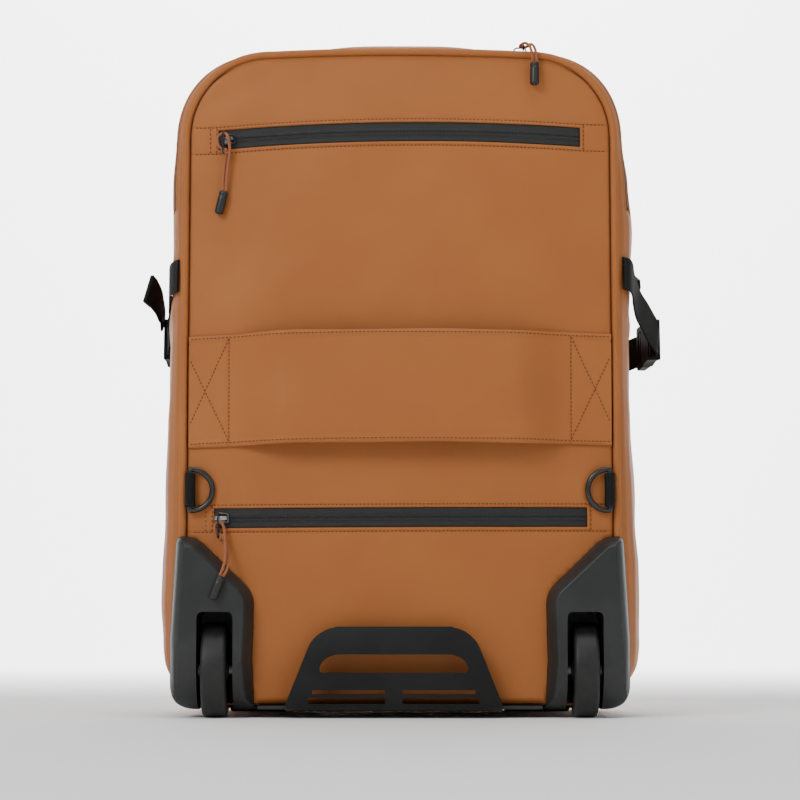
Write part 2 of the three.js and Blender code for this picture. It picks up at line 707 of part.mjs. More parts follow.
/** The housing's outer form: straight sides, then sections drawing in to the back face. */
function housingForm(side, grow) {
  const rings = [{ y: housingFrontY + grow, inset: -grow }];
  for (const row of HOUSING_SECTIONS) {
    const y = HOUSING_CHAMFER_Y + (HOUSING_BACK_Y - HOUSING_CHAMFER_Y) * row.back;
    rings.push({ y: y - grow, inset: HOUSING_BORDER * row.inset - grow });
  }
  return solidFromRings(rings.map(({ y, inset }) => (
    housingOutline(side, inset).map((p) => [p.x, y, p.y]))));
}

/** Everything behind and above a quarter circle that rolls the housing's back face under it. */
function aboveUnderside(side, inset) {
  const [middleY, middleZ] = [HOUSING_BACK_Y + HOUSING_UNDER_R, housingLow + HOUSING_UNDER_R];
  const radius = HOUSING_UNDER_R - inset;
  const steps = 7;
  const arc = Array.from({ length: steps + 1 }, (_, k) => {
    const a = Math.PI / 2 * k / steps;
    return [middleY - radius * Math.cos(a), middleZ - radius * Math.sin(a)];
  });
  const [frontY, topZ] = [housingFrontY + HOUSING_WALL, HOUSING_OUTLINE[0].z + HOUSING_WALL];
  const ends = [0.5, 1.5].map((share) => side * HOUSING_OUTLINE[0].x * share).sort((a, b) => a - b);
  return barAlongX([...arc, [frontY, middleZ - radius], [frontY, topZ], [middleY - radius, topZ]],
    ...ends);
}

/** The outer form hollowed from its inner side, with a well round the wheel and bores for the axle. */
function wheelHousing(side) {
  const hollow = meet(
    plateAlongY(housingOutline(side, HOUSING_BORDER + 1), HOUSING_BACK_Y + HOUSING_WALL,
      housingFrontY + HOUSING_WALL / 2),
    aboveUnderside(side, HOUSING_WALL));
  const wellHalf = SLOT_WIDTH / 2 + HOUSING_WALL;
  const well = box(
    [side * SLOT_X - wellHalf, HOUSING_BACK_Y + 1, housingLow + 1],
    [side * SLOT_X + wellHalf, housingFrontY - GAP, SLOT_TOP + HOUSING_WALL]);
  const slotShape = roundedOutline([
    { x: side * SLOT_X - SLOT_WIDTH / 2, z: -housingLow, r: 1 },
    { x: side * SLOT_X + SLOT_WIDTH / 2, z: -housingLow, r: 1 },
    { x: side * SLOT_X + SLOT_WIDTH / 2, z: SLOT_TOP, r: SLOT_CORNER },
    { x: side * SLOT_X - SLOT_WIDTH / 2, z: SLOT_TOP, r: SLOT_CORNER },
  ], 4);
  const slot = plateAlongY(slotShape, HOUSING_BACK_Y - HOUSING_WALL, slotFrontY);
  const bore = new THREE.CylinderGeometry(AXLE_R + GAP, AXLE_R + GAP, 2 * wellHalf + 1, 16);
  bore.rotateZ(Math.PI / 2).translate(side * SLOT_X, WHEEL_Y, WHEEL_R);
  const walls = joinAll(cutAll(housingForm(side, 0), hollow), well);
  return cutAll(meet(walls, aboveUnderside(side, 0)), slot, bore);
}

/** A closed profile turned about the wheel's axis; each row is a radius and a place along the axis. */
function turned(side, profile, segments) {
  const closed = [...profile, profile[0]].map(([r, along]) => new THREE.Vector2(r, along));
  const lathe = new THREE.LatheGeometry(closed, segments);
  return lathe.rotateZ(Math.PI / 2).translate(side * WHEEL_X, WHEEL_Y, WHEEL_R);
}

function wheelTyre(side) {
  const w = WHEEL_WIDTH / 2;
  const inner = TYRE_INNER_R;
  return turned(side, [
    [inner, -w], [WHEEL_R - 3.2, -w], [WHEEL_R - 0.9, -w * 0.72], [WHEEL_R, -w * 0.3],
    [WHEEL_R, w * 0.3], [WHEEL_R - 0.9, w * 0.72], [WHEEL_R - 3.2, w], [inner, w],
  ], 24);
}

function wheelHub(side) {
  const w = WHEEL_WIDTH / 2;
  const rim = TYRE_INNER_R - GAP;
  const bore = AXLE_R + GAP;
  const boss = AXLE_R + 4;
  return turned(side, [
    [bore, -w - 1], [boss, -w - 1], [boss, -w * 0.35], [rim - 4, -w * 0.35],
    [rim, -w + 0.6], [rim, w - 0.6], [rim - 4, w * 0.35], [boss, w * 0.35],
    [boss, w + 1], [bore, w + 1],
  ], 16);
}

function wheelAxle(side) {
  const length = SLOT_WIDTH + 2 * HOUSING_WALL - 2 * GAP;
  const axle = new THREE.CylinderGeometry(AXLE_R, AXLE_R, length, 16);
  return axle.rotateZ(Math.PI / 2).translate(side * SLOT_X, WHEEL_Y, WHEEL_R);
}

// Bottom handle, base plate and feet

/** A wall of one thickness about a middle line in y and z, carried along x. */
function bentWall(line, thickness, fromX, toX) {
  const path = new THREE.CatmullRomCurve3(line.map((p) => new THREE.Vector3(0, p.y, p.z)));
  const sides = [[], []];
  const steps = 14;
  for (let i = 0; i <= steps; i++) {
    const at = path.getPointAt(i / steps);
    const along = path.getTangentAt(i / steps);
    for (const [k, sign] of [[0, 1], [1, -1]]) {
      sides[k].push([at.y - sign * along.z * thickness / 2, at.z + sign * along.y * thickness / 2]);
    }
  }
  const count = sides[0].length;
  const rings = [];
  for (let i = 0; i < count; i++) {
    const [a, b] = [sides[0][i], sides[1][i]];
    rings.push([[fromX, ...a], [toX, ...a], [toX, ...b], [fromX, ...b]]);
  }
  return solidFromRings(rings);
}

/** The grip opening: a flat bottom with small corners, and a quarter ellipse over each end. */
function gripOutline() {
  const rise = GRIP_HEIGHT - GRIP_LOW_CORNER;
  const right = [[GRIP_HALF - GRIP_LOW_CORNER, 0]];
  for (let k = 0; k <= 6; k++) {
    const a = Math.PI / 2 * k / 6;
    right.push([GRIP_HALF - GRIP_END_ROUND * (1 - Math.cos(a)), GRIP_LOW_CORNER + rise * Math.sin(a)]);
  }
  const left = right.map(([x, z]) => [-x, z]).reverse();
  return [...right, ...left].map(([x, z]) => new THREE.Vector2(HANDLE_X + x, GRIP_BOTTOM + z));
}

function bottomHandle() {
  const corner = (x, z, r) => ({ x: HANDLE_X + x, z, r });
  const wall = bentWall(HANDLE_PROFILE, HANDLE_THICK,
    HANDLE_X - HANDLE_FOOT_HALF - 5, HANDLE_X + HANDLE_FOOT_HALF + 5);
  const outline = roundedOutline([
    corner(-HANDLE_FOOT_HALF, HANDLE_BOTTOM - 5, 1), corner(HANDLE_FOOT_HALF, HANDLE_BOTTOM - 5, 1),
    corner(HANDLE_FOOT_HALF, HANDLE_BOTTOM + 4, 4), corner(HANDLE_TOP_HALF, HANDLE_TOP, 16),
    corner(-HANDLE_TOP_HALF, HANDLE_TOP, 16), corner(-HANDLE_FOOT_HALF, HANDLE_BOTTOM + 4, 4),
  ], 5);
  const [frontY, backY] = [-50, -130];
  const openings = [plateAlongY(gripOutline(), -100, backY)];
  for (const row of SLOT_ROWS) {
    for (const side of [-1, 1]) {
      const ends = [HANDLE_X + side * SLOT_WEB_HALF, HANDLE_X + side * row.half].sort((a, b) => a - b);
      openings.push(box([ends[0], backY, row.z], [ends[1], -104, row.z + row.height]));
    }
  }
  return cutAll(meet(wall, plateAlongY(outline, frontY, backY)), ...openings);
}

/** A flat plate under the bag, whose back edge carries the handle. */
function basePlate() {
  const top = BAG_BOTTOM - GAP;
  const half = HOUSING_OUTLINE[4].x - 2 * GAP;
  return box([-half, PLATE_BACK_Y, top - PLATE_THICK], [half, PLATE_BACK_Y + PLATE_DEPTH, top]);
}

function frontFoot(side) {
  const top = BAG_BOTTOM - GAP;
  const ring = (grow, z) => [[-1, -1], [1, -1], [1, 1], [-1, 1]].map(([u, v]) => [
    side * FOOT.x + u * (FOOT.length / 2 + grow), FOOT.y + v * (FOOT.width / 2 + grow), z]);
  return solidFromRings([ring(-FOOT.taper, 0), ring(0, top - 2), ring(0, top)]);
}

// D-rings

const ringBarX = BAG_HALF_TOP - RING_BAR_IN;
const ringFarX = ringBarX - 1 - RING_HALF_HEIGHT;
const ringY = backPanelY(ringFarX, RING_Z) - RING_WIRE_R - 2 * GAP;

/** A straight bar closed by a half circle, of round wire. */
function dRing(side) {
  const rings = [];
  const wire = 8;
  const arc = 10;
  const line = [[0, -RING_HALF_HEIGHT, -1, -1]];
  for (let i = 0; i <= arc; i++) {
    const a = -Math.PI / 2 + Math.PI * i / arc;
    line.push([1 + RING_HALF_HEIGHT * Math.cos(a), RING_HALF_HEIGHT * Math.sin(a),
      Math.cos(a), Math.sin(a)]);
  }
  line.push([0, RING_HALF_HEIGHT, -1, 1]);
  for (const [x, z, nx, nz] of line) {
    rings.push(Array.from({ length: wire }, (_, k) => {
      const a = 2 * Math.PI * (k + 0.5) / wire;
      const out = RING_WIRE_R * Math.cos(a);
      return [side * (ringBarX - x - nx * out), ringY + RING_WIRE_R * Math.sin(a),
        RING_Z + z + nz * out];
    }));
  }
  return solidFromRings(rings, true);
}

/** Webbing folded round the ring's bar, its two ends together at the seam. */
function ringLoop(side) {
  const inner = RING_WIRE_R + GAP;
  const outer = inner + WEBBING;
  const tailX = 2.1;
  const shape = new THREE.Shape();
  const reach = BACK_SEAM_Y - 1.6 - ringY;
  shape.moveTo(-tailX, reach);
  shape.lineTo(-tailX, Math.sqrt(outer * outer - tailX * tailX));
  shape.absarc(0, 0, outer, Math.PI - Math.acos(tailX / outer), Math.acos(tailX / outer) + 2 * Math.PI);
  shape.lineTo(tailX, reach);
  shape.closePath();
  const bore = new THREE.Path();
  bore.absarc(0, 0, inner, 0, 2 * Math.PI);
  shape.holes.push(bore);
  const loop = new THREE.ExtrudeGeometry(shape, {
    depth: RING_LOOP_HEIGHT, bevelEnabled: false, curveSegments: 8,
  });
  return loop.translate(side * ringBarX, ringY, RING_Z - RING_LOOP_HEIGHT / 2);
}

// Side straps and buckles

/** Centre points of webbing from rows of depth, height and distance off the gusset's face. */
function onGusset(side, rows) {
  return rows.map(([y, dz, off, across = STRAP_ACROSS]) => ({
    at: [sideX(side, y, STRAP_Z + dz) + side * (off + GAP + WEBBING / 2), y, STRAP_Z + dz], across,
  }));
}

/** The buckle's socket: an outline with waisted sides, slotted for the plug's prongs. */
function buckleSocket(frame) {
  const [l, w] = [SOCKET_LONG / 2, BUCKLE_WIDE / 2];
  const shape = new THREE.Shape();
  shape.moveTo(-l, -w + 4);
  shape.quadraticCurveTo(-l, -w + 1, -l + 3, -w + 1);
  shape.quadraticCurveTo(0, -w + 3.4, l, -w);
  shape.lineTo(l, w);
  shape.quadraticCurveTo(0, w - 3.4, -l + 3, w - 1);
  shape.quadraticCurveTo(-l, w - 1, -l, w - 4);
  shape.closePath();
  const slit = roundedRectangle(3.4, WEBBING_WIDTH + 1, 1, new THREE.Path());
  const moved = new THREE.Path(slit.getPoints(1).map((p) => p.add(new THREE.Vector2(-l + 5, 0))));
  shape.holes.push(moved);
  return placedPlate(shape, BUCKLE_THICK, frame.socket, frame.along, [0, 0, 1]);
}

/** The buckle's plug: a shouldered plate with two webbing slits. */
function bucklePlug(frame) {
  const [l, w] = [PLUG_LONG / 2, BUCKLE_WIDE / 2];
  const shape = roundedRectangle(2 * l, 2 * w, 3);
  for (const place of [-2, 5]) {
    const slit = roundedRectangle(3, WEBBING_WIDTH + 1, 1, new THREE.Path());
    shape.holes.push(new THREE.Path(slit.getPoints(1).map((p) => p.add(new THREE.Vector2(place, 0)))));
  }
  return placedPlate(shape, BUCKLE_THICK * 0.7, frame.plug, frame.along, [0, 0, 1]);
}

/** Both halves of a buckle in line: the socket's middle, its direction, and the plug next to it. */
function buckleFrame(side, [y, dz, off, along]) {
  const socket = [sideX(side, y, STRAP_Z + dz) + side * (off + BUCKLE_THICK / 2), y, STRAP_Z + dz];
  const a = new THREE.Vector3(...along).normalize();
  const step = (SOCKET_LONG + PLUG_LONG) / 2 + GAP;
  const place = (shift) => new THREE.Vector3(...socket).addScaledVector(a, shift).toArray();
  return {
    along: a.toArray(), socket, plug: place(step),
    rear: [-6, -1].map((shift) => place(shift - SOCKET_LONG / 2 + GAP)),
    front: [1, 9].map((shift) => place(step + PLUG_LONG / 2 + shift - GAP)),
  };
}

/** Webbing from the back seam over the gusset to the buckle's socket. */
function rearStrap(side, rows, buckle) {
  const ends = buckle.rear.map((at) => ({ at, across: STRAP_ACROSS }));
  return webbing([...onGusset(side, rows), ...ends], 16);
}

/** Webbing from the buckle's plug to the front seam. */
function frontStrap(side, rows, buckle) {
  const starts = buckle.front.map((at) => ({ at, across: STRAP_ACROSS }));
  return webbing([...starts, ...onGusset(side, rows)], 10);
}

// The assembly

const tan = { color: 0xac6f43, roughness: 0.55, metalness: 0 };
const darkMoulded = { color: 0x3a3c3b, roughness: 0.5, metalness: 0 };
const darkRubber = { color: 0x3e4140, roughness: 0.75, metalness: 0 };
const darkWeave = { color: 0x2c2e2c, roughness: 0.85, metalness: 0 };
const zipBlack = { color: 0x3f4140, roughness: 0.7, metalness: 0 };
const gunmetal = { color: 0x707274, roughness: 0.35, metalness: 1 };
const blackMetal = { color: 0x151617, roughness: 0.3, metalness: 0.8 };

const backpack = new THREE.Group();

function add(name, geometry, look) {
  const mesh = new THREE.Mesh(geometry, new THREE.MeshStandardMaterial(look));
  mesh.name = name;
  backpack.add(mesh);
}

const sides = [['left', -1], ['right', 1]];
const housingCutters = sides.map(([, side]) => housingForm(side, GAP));

/** The gusset: a wall all round between the seams, cut open along the main zip. */
function gusset() {
  const depths = GUSSET_DEPTHS.map((row) => BACK_SEAM_Y + row.depth * (FRONT_SEAM_Y - BACK_SEAM_Y));
  depths[0] += PIPING_R + GAP;
  depths[depths.length - 1] -= PIPING_R + GAP;
  const innerDepths = depths.filter((y, i) => i % 2 === 0 || i > depths.length / 2).reverse();
  const rings = seam.map((p) => [
    ...depths.map((y) => gussetPoint(p, y, 0)),
    ...innerDepths.map((y) => gussetPoint(p, y, -CLOTH)),
  ]);
  const half = MAIN_ZIP_WIDTH / 2;
  const slit = mainZipStrip(MAIN_ZIP_END_Z, [[-half, -6], [-half, 6], [half, 6], [half, -6]]);
  return cutAll(solidFromRings(rings, true), slit, ...housingCutters);
}

/** Piping round a seam: all round in front, and from housing to housing over the top behind. */
function piping(y, points, joined) {
  const wire = 6;
  const rings = points.map((p) => Array.from({ length: wire }, (_, k) => {
    const a = 2 * Math.PI * k / wire;
    const out = PIPING_R * Math.cos(a);
    return [p.x + p.nx * out, y + PIPING_R * Math.sin(a), p.z + p.nz * out];
  }));
  return solidFromRings(rings, joined);
}

/** The sleeve's outer face: sewn flat at its ends, standing off the panel between its seams. */
function sleeveOff(x) {
  const t = (SLEEVE_SEAM_X - Math.abs(x)) / (SLEEVE_SEAM_X - SLEEVE_FLAT);
  const share = Math.min(Math.max(t, 0), 1);
  return SLEEVE_STAND_OFF * share * share * (3 - 2 * share);
}

function luggageSleeve() {
  const half = bagHalf(SLEEVE_MIDDLE_Z) - PIPING_R - GAP - 1;
  const rings = [];
  const steps = 26;
  for (let i = 0; i <= steps; i++) {
    const x = -half + 2 * half * i / steps;
    const droop = x < 0 ? 3.4 * (x / half) ** 2 : 1.2 * (x / half) ** 2;
    const heights = [-1, 1].map((v) => SLEEVE_MIDDLE_Z - droop + v * SLEEVE_HEIGHT / 2);
    const inner = heights.map((z) => backPanelY(x, z) - GAP - sleeveOff(x));
    rings.push([
      [x, inner[0] - SLEEVE_THICK, heights[0]], [x, inner[1] - SLEEVE_THICK, heights[1]],
      [x, inner[1], heights[1]], [x, inner[0], heights[0]],
    ]);
  }
  return solidFromRings(rings);
}

const archPoints = seam.filter((p) => p.nz > -0.5 && p.z > HOUSING_OUTLINE[0].z + GAP);
const archEnds = [1, -1].map((s) => ({
  x: s * bagHalf(HOUSING_OUTLINE[0].z), z: HOUSING_OUTLINE[0].z + 2 * GAP, nx: s, nz: 0,
}));

add('back_panel', cutAll(panelWall(backPanelY, CLOTH, GAP), zipWindow(UPPER_ZIP), zipWindow(LOWER_ZIP),
  ...housingCutters), tan);
add('gusset', gusset(), tan);
add('front_panel', panelWall(frontPanelY, -CLOTH, PIPING_R + GAP), tan);
add('piping_back', piping(BACK_SEAM_Y, [archEnds[0], ...archPoints, archEnds[1]], false), tan);
add('piping_front', piping(FRONT_SEAM_Y, seam, true), tan);
add('luggage_sleeve', luggageSleeve(), tan);

const pulls = [
  ['upper', UPPER_PULL, UPPER_ZIP, UPPER_CORD_ROUTE],
  ['lower', LOWER_PULL, LOWER_ZIP, LOWER_CORD_ROUTE],
  ['main', MAIN_PULL, null, MAIN_CORD_ROUTE],
];
for (const [name, pull, zip, route] of pulls) {
  const frame = sliderFrame(pull, zip);
  const mainHalf = MAIN_ZIP_WIDTH / 2 - GAP;
  const mainTape = [[-mainHalf, -ZIP_SUNK], [mainHalf, -ZIP_SUNK],
    [mainHalf, -ZIP_SUNK - ZIP_TAPE], [-mainHalf, -ZIP_SUNK - ZIP_TAPE]];
  add(`zip_${name}_tape`, zip ? zipTape(zip) : mainZipStrip(MAIN_ZIP_END_Z + 1, mainTape), zipBlack);
  add(`zip_${name}_slider`, zipSlider(frame), gunmetal);
  add(`zip_${name}_link`, zipLink(frame, pull), blackMetal);
  add(`zip_${name}_cord`, pullCord(route), tan);
  add(`zip_${name}_cord_end`, cordEnd(pull), darkMoulded);
}

for (const [name, side] of sides) {
  const strap = STRAPS[name];
  const buckle = buckleFrame(side, strap.buckle);
  add(`wheel_housing_${name}`, wheelHousing(side), darkMoulded);
  add(`wheel_tyre_${name}`, wheelTyre(side), darkRubber);
  add(`wheel_hub_${name}`, wheelHub(side), darkMoulded);
  add(`wheel_axle_${name}`, wheelAxle(side), gunmetal);
  add(`front_foot_${name}`, frontFoot(side), darkMoulded);
  add(`d_ring_loop_${name}`, ringLoop(side), darkWeave);
  add(`d_ring_${name}`, dRing(side), blackMetal);
  add(`side_strap_rear_${name}`, rearStrap(side, strap.rear, buckle), darkWeave);
  add(`side_strap_front_${name}`, frontStrap(side, strap.front, buckle), darkWeave);
  add(`side_strap_tail_${name}`, webbing(onGusset(side, strap.tail), 8), darkWeave);
  add(`buckle_socket_${name}`, buckleSocket(buckle), darkMoulded);
  add(`buckle_plug_${name}`, bucklePlug(buckle), darkMoulded);
}
add('bottom_handle', bottomHandle(), darkMoulded);
add('base_plate', basePlate(), darkMoulded);

export default backpack;
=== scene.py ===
"""The looks of a wheeled backpack of coated cloth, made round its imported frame.

Shapes are worked out in millimetres, in the frame's own axes, and become metres when a mesh is made.
"""
import math

import bpy
import numpy as np
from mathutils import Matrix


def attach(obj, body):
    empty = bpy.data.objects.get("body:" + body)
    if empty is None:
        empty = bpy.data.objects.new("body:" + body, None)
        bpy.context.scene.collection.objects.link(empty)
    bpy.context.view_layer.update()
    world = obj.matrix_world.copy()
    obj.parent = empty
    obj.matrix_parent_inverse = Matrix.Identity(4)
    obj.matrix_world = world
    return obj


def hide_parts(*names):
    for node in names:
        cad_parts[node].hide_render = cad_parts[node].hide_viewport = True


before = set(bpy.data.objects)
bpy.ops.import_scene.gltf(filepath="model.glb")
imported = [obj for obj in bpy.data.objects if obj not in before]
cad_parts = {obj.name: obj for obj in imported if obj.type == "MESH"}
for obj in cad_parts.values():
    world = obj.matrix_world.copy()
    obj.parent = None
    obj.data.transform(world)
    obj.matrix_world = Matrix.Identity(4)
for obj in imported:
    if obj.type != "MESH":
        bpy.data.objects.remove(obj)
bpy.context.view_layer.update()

# The camera stands behind the bag, low, and looks slightly up at it
MM = 0.001
BACK_DISTANCE = 2106.0
CAMERA_HEIGHT = 74.0
AIM_HEIGHT = 235.4
FIELD_WIDTH = 596.0
SENSOR_WIDTH = 36.0

# Sizes that the solids share
BAG_BOTTOM, BAG_TOP = 9.2, 498.0
BAG_HALF_BOTTOM, BAG_HALF_TOP = 162.0, 160.0
TOP_CORNER, BOTTOM_CORNER, TOP_CROWN = 62.0, 34.0, 2.5
BACK_SEAM_Y, FRONT_SEAM_Y = -92.0, 98.0
PANEL_WALL, PIPING_R, WEBBING, WEBBING_WIDTH, GAP = 1.6, 2.8, 1.6, 25.0, 0.3
BACK_BULGE, FRONT_BULGE, SIDE_BULGE, TOP_BULGE, CORNER_BULGE = 14.0, 23.0, 21.0, 12.0, 4.0
BAG_HEIGHT = BAG_TOP - BAG_BOTTOM
BAG_MIDDLE = (BAG_TOP + BAG_BOTTOM) / 2
PIPING_LOW_END = 130.0

ZIP_HALF = 7.5
UPPER_ZIP = dict(left=-136.0, right=135.0, z_left=430.1, z_middle=435.8, z_right=432.5)
LOWER_ZIP = dict(left=-138.0, right=139.0, z_left=147.0, z_middle=147.7, z_right=148.0)
MAIN_ZIP_Y, MAIN_ZIP_WIDTH, MAIN_ZIP_END_Z = -72.0, 12.0, 380.0

CORD_D, CORD_END_D, CORD_END_LONG = 2.2, 6.8, 17.5
UPPER_CORD_ROUTE = [
    [-129.9, -100.8, 391.2], [-129.5, -101.1, 397], [-129, -101.5, 404], [-128.4, -101.7, 411],
    [-127.5, -102.3, 417], [-127.1, -102.8, 421.5], [-127.3, -103.3, 425.5], [-127.9, -103.6, 429],
    [-128.6, -103.2, 432], [-129.9, -101.8, 434], [-131.3, -101.2, 434.5], [-133.2, -101.2, 434.2],
    [-136.1, -101.6, 432], [-136.4, -101.7, 428.4], [-135.3, -101.6, 425], [-133.2, -101.4, 422.8],
    [-131.3, -101.4, 421.9], [-130, -101.1, 420.6], [-129.9, -100.2, 416.4], [-130.9, -99.7, 410],
    [-131.7, -99.9, 403], [-132.2, -100.3, 396], [-132.3, -100.6, 391.4],
]
LOWER_CORD_ROUTE = [
    [-132.1, -116, 104.5], [-130.2, -115.8, 109], [-128.8, -114.6, 114], [-128.3, -112.6, 119],
    [-128.4, -110.2, 124], [-128.8, -107.8, 129], [-129.3, -105.6, 133], [-129.6, -103.6, 136.5],
    [-130.1, -102.9, 140], [-131.6, -102.3, 142.9], [-133.9, -102, 144.2], [-136.3, -102.1, 142.7],
    [-137.1, -102.2, 139.6], [-136.5, -102.2, 136.9], [-135, -102.1, 135.4], [-133.6, -102.1, 135],
    [-131.7, -102.3, 134], [-130.2, -102.6, 131.4], [-128.6, -103.8, 127.5], [-127.3, -106.2, 122.8],
    [-126.5, -109, 117.8], [-126.4, -112, 112.8], [-127.3, -114.6, 108.2], [-129.8, -116, 103.6],
]
MAIN_CORD_ROUTE = [
    [99.6, -99.6, 488.9], [99.2, -100.3, 493], [98.4, -100.3, 497.3], [97.2, -98.9, 500.8],
    [95.6, -96.2, 503.2], [93.9, -92.8, 504.6], [92, -89.4, 504.6], [90.6, -86.6, 503.8],
    [90.9, -84.4, 503.4], [93.2, -83.6, 503.2], [95.5, -84.2, 503.4], [96.9, -86.6, 503.9],
    [98, -89.8, 504.2], [99.4, -93.2, 503.2], [100.7, -96.4, 500.8], [101.6, -98.6, 497.4],
    [102.1, -99.4, 493.4], [102.3, -99.4, 488.9],
]
CORD_ENDS = {
    "upper": ([-131.25, -100.6, 390.8], [-0.23, 0, -0.973]),
    "lower": ([-131.1, -116, 103.6], [-0.375, 0, -0.927]),
    "main": ([100.9, -99.4, 488.5], [-0.02, -0.12, -0.99]),
}

# How the gusset swells from the back seam to the front seam, and over each side's height
GUSSET_DEPTHS = np.array([
    # depth, side, top
    [0, 0, 0], [0.04, 0.42, 0.2], [0.09, 0.72, 0.35], [0.18, 0.9, 0.6], [0.3, 1, 0.87],
    [0.5, 0.97, 1], [0.68, 0.88, 0.97], [0.86, 0.6, 0.65], [1, 0, 0],
])
SIDE_HEIGHTS = np.array([
    # height, left, right
    [0, 0.55, 0.62], [0.095, 0.88, 0.95], [0.15, 0.96, 0.96], [0.21, 0.9, 0.94], [0.28, 0.84, 0.84],
    [0.43, 0.78, 0.71], [0.5, 0.71, 0.64], [0.59, 0.67, 0.65], [0.64, 0.6, 0.72], [0.725, 0.62, 0.84],
    [0.8, 0.63, 0.68], [0.87, 0.52, 0.48], [1, 0.4, 0.4],
])


# Camera, light and floor

def place_camera():
    data = bpy.data.cameras.new("camera")
    camera = add_object("camera", data)
    tilt = math.atan2(AIM_HEIGHT - CAMERA_HEIGHT, BACK_DISTANCE)
    data.sensor_width = SENSOR_WIDTH
    data.lens = SENSOR_WIDTH * BACK_DISTANCE / math.cos(tilt) / FIELD_WIDTH
    data.clip_start, data.clip_end = 0.05, 50.0
    camera.location = (0, (BACK_SEAM_Y - BACK_DISTANCE) * MM, CAMERA_HEIGHT * MM)
    camera.rotation_euler = (math.pi / 2 + tilt, 0, 0)
    bpy.context.scene.camera = camera


def add_object(name, data):
    item = bpy.data.objects.new(name, data)
    bpy.context.collection.objects.link(item)
    return item


def area_light(name, place, aim, size, watts):
    data = bpy.data.lights.new(name, "AREA")
    data.shape, data.size, data.size_y = "RECTANGLE", size[0], size[1]
    data.energy = watts
    light = add_object(name, data)
    light.location = place
    back = np.array(place) - np.array(aim)
    light.rotation_euler = (math.atan2(math.hypot(back[0], back[1]), back[2]), 0,
                            math.atan2(back[1], back[0]) + math.pi / 2)


def place_stage():
    """A pale floor that curves up into a backdrop: a quarter circle between two flats."""
    bend, far, half = 1.2, 2.6, 6.0
    angle = np.linspace(0, math.pi / 2, 16)
    run = np.concatenate([[-half], far + bend * np.sin(angle), [far + bend]])
    rise = np.concatenate([[0.0], bend * (1 - np.cos(angle)), [half]])
    sides = np.array([-half, half])
    points = np.stack(np.broadcast_arrays(sides[None, :], run[:, None], rise[:, None]), -1)
    floor = grid_piece("floor", points / MM, pale_floor(), body=None, facing=(0, -1, 1))


def light_stage():
    world = bpy.data.worlds.new("studio")
    bpy.context.scene.world = world
    world.use_nodes = True
    sky = world.node_tree.nodes["Background"].inputs
    sky["Color"].default_value, sky["Strength"].default_value = (1, 1, 1, 1), 0.34
    area_light("key", (-1.6, -2.3, 2.0), (0, 0, 0.3), (1.2, 1.2), 49)
    area_light("fill", (1.7, -2.2, 1.3), (0, 0, 0.25), (1.6, 1.6), 10)
    area_light("top", (0.2, -0.4, 2.4), (0, 0, 0.3), (1.4, 1.4), 20)
    area_light("backdrop", (0, 1.6, 2.2), (0, 3.8, 1.0), (4.0, 1.0), 420)


# Shader maths

class Signal:
    """A socket of a shader tree. Arithmetic on it adds Math nodes."""

    def __init__(self, tree, socket):
        self.tree, self.socket = tree, socket

    def math(self, operation, *values):
        return add_node(self.tree, "ShaderNodeMath", dict(operation=operation),
                        {i: v for i, v in enumerate(values)})

    def __add__(self, other):
        return self.math("ADD", self, other)

    def __radd__(self, other):
        return self.math("ADD", other, self)

    def __sub__(self, other):
        return self.math("SUBTRACT", self, other)

    def __rsub__(self, other):
        return self.math("SUBTRACT", other, self)

    def __mul__(self, other):
        return self.math("MULTIPLY", self, other)

    def sine(self):
        return self.math("SINE", self)

    def size(self):
        return self.math("ABSOLUTE", self)

    def most(self, other):
        return self.math("MAXIMUM", self, other)

    def smooth(self, low, high):
        return add_node(self.tree, "ShaderNodeMapRange", dict(interpolation_type="SMOOTHSTEP"),
                        {"Value": self, "From Min": low, "From Max": high})

    def ribs(self, pitch):
        """A sine wave along a signal in millimetres."""
        return (self * (2 * math.pi / pitch)).sine()


def add_node(tree, kind, settings=None, inputs=None, output=0):
    """Adds one node, sets it, fills or links its inputs, and returns one of its outputs."""
    node = tree.nodes.new(kind)
    for name, value in (settings or {}).items():
        setattr(node, name, value)
    for key, value in (inputs or {}).items():
        if isinstance(value, Signal):
            tree.links.new(value.socket, node.inputs[key])
        else:
            node.inputs[key].default_value = value
    return Signal(tree, node.outputs[output])


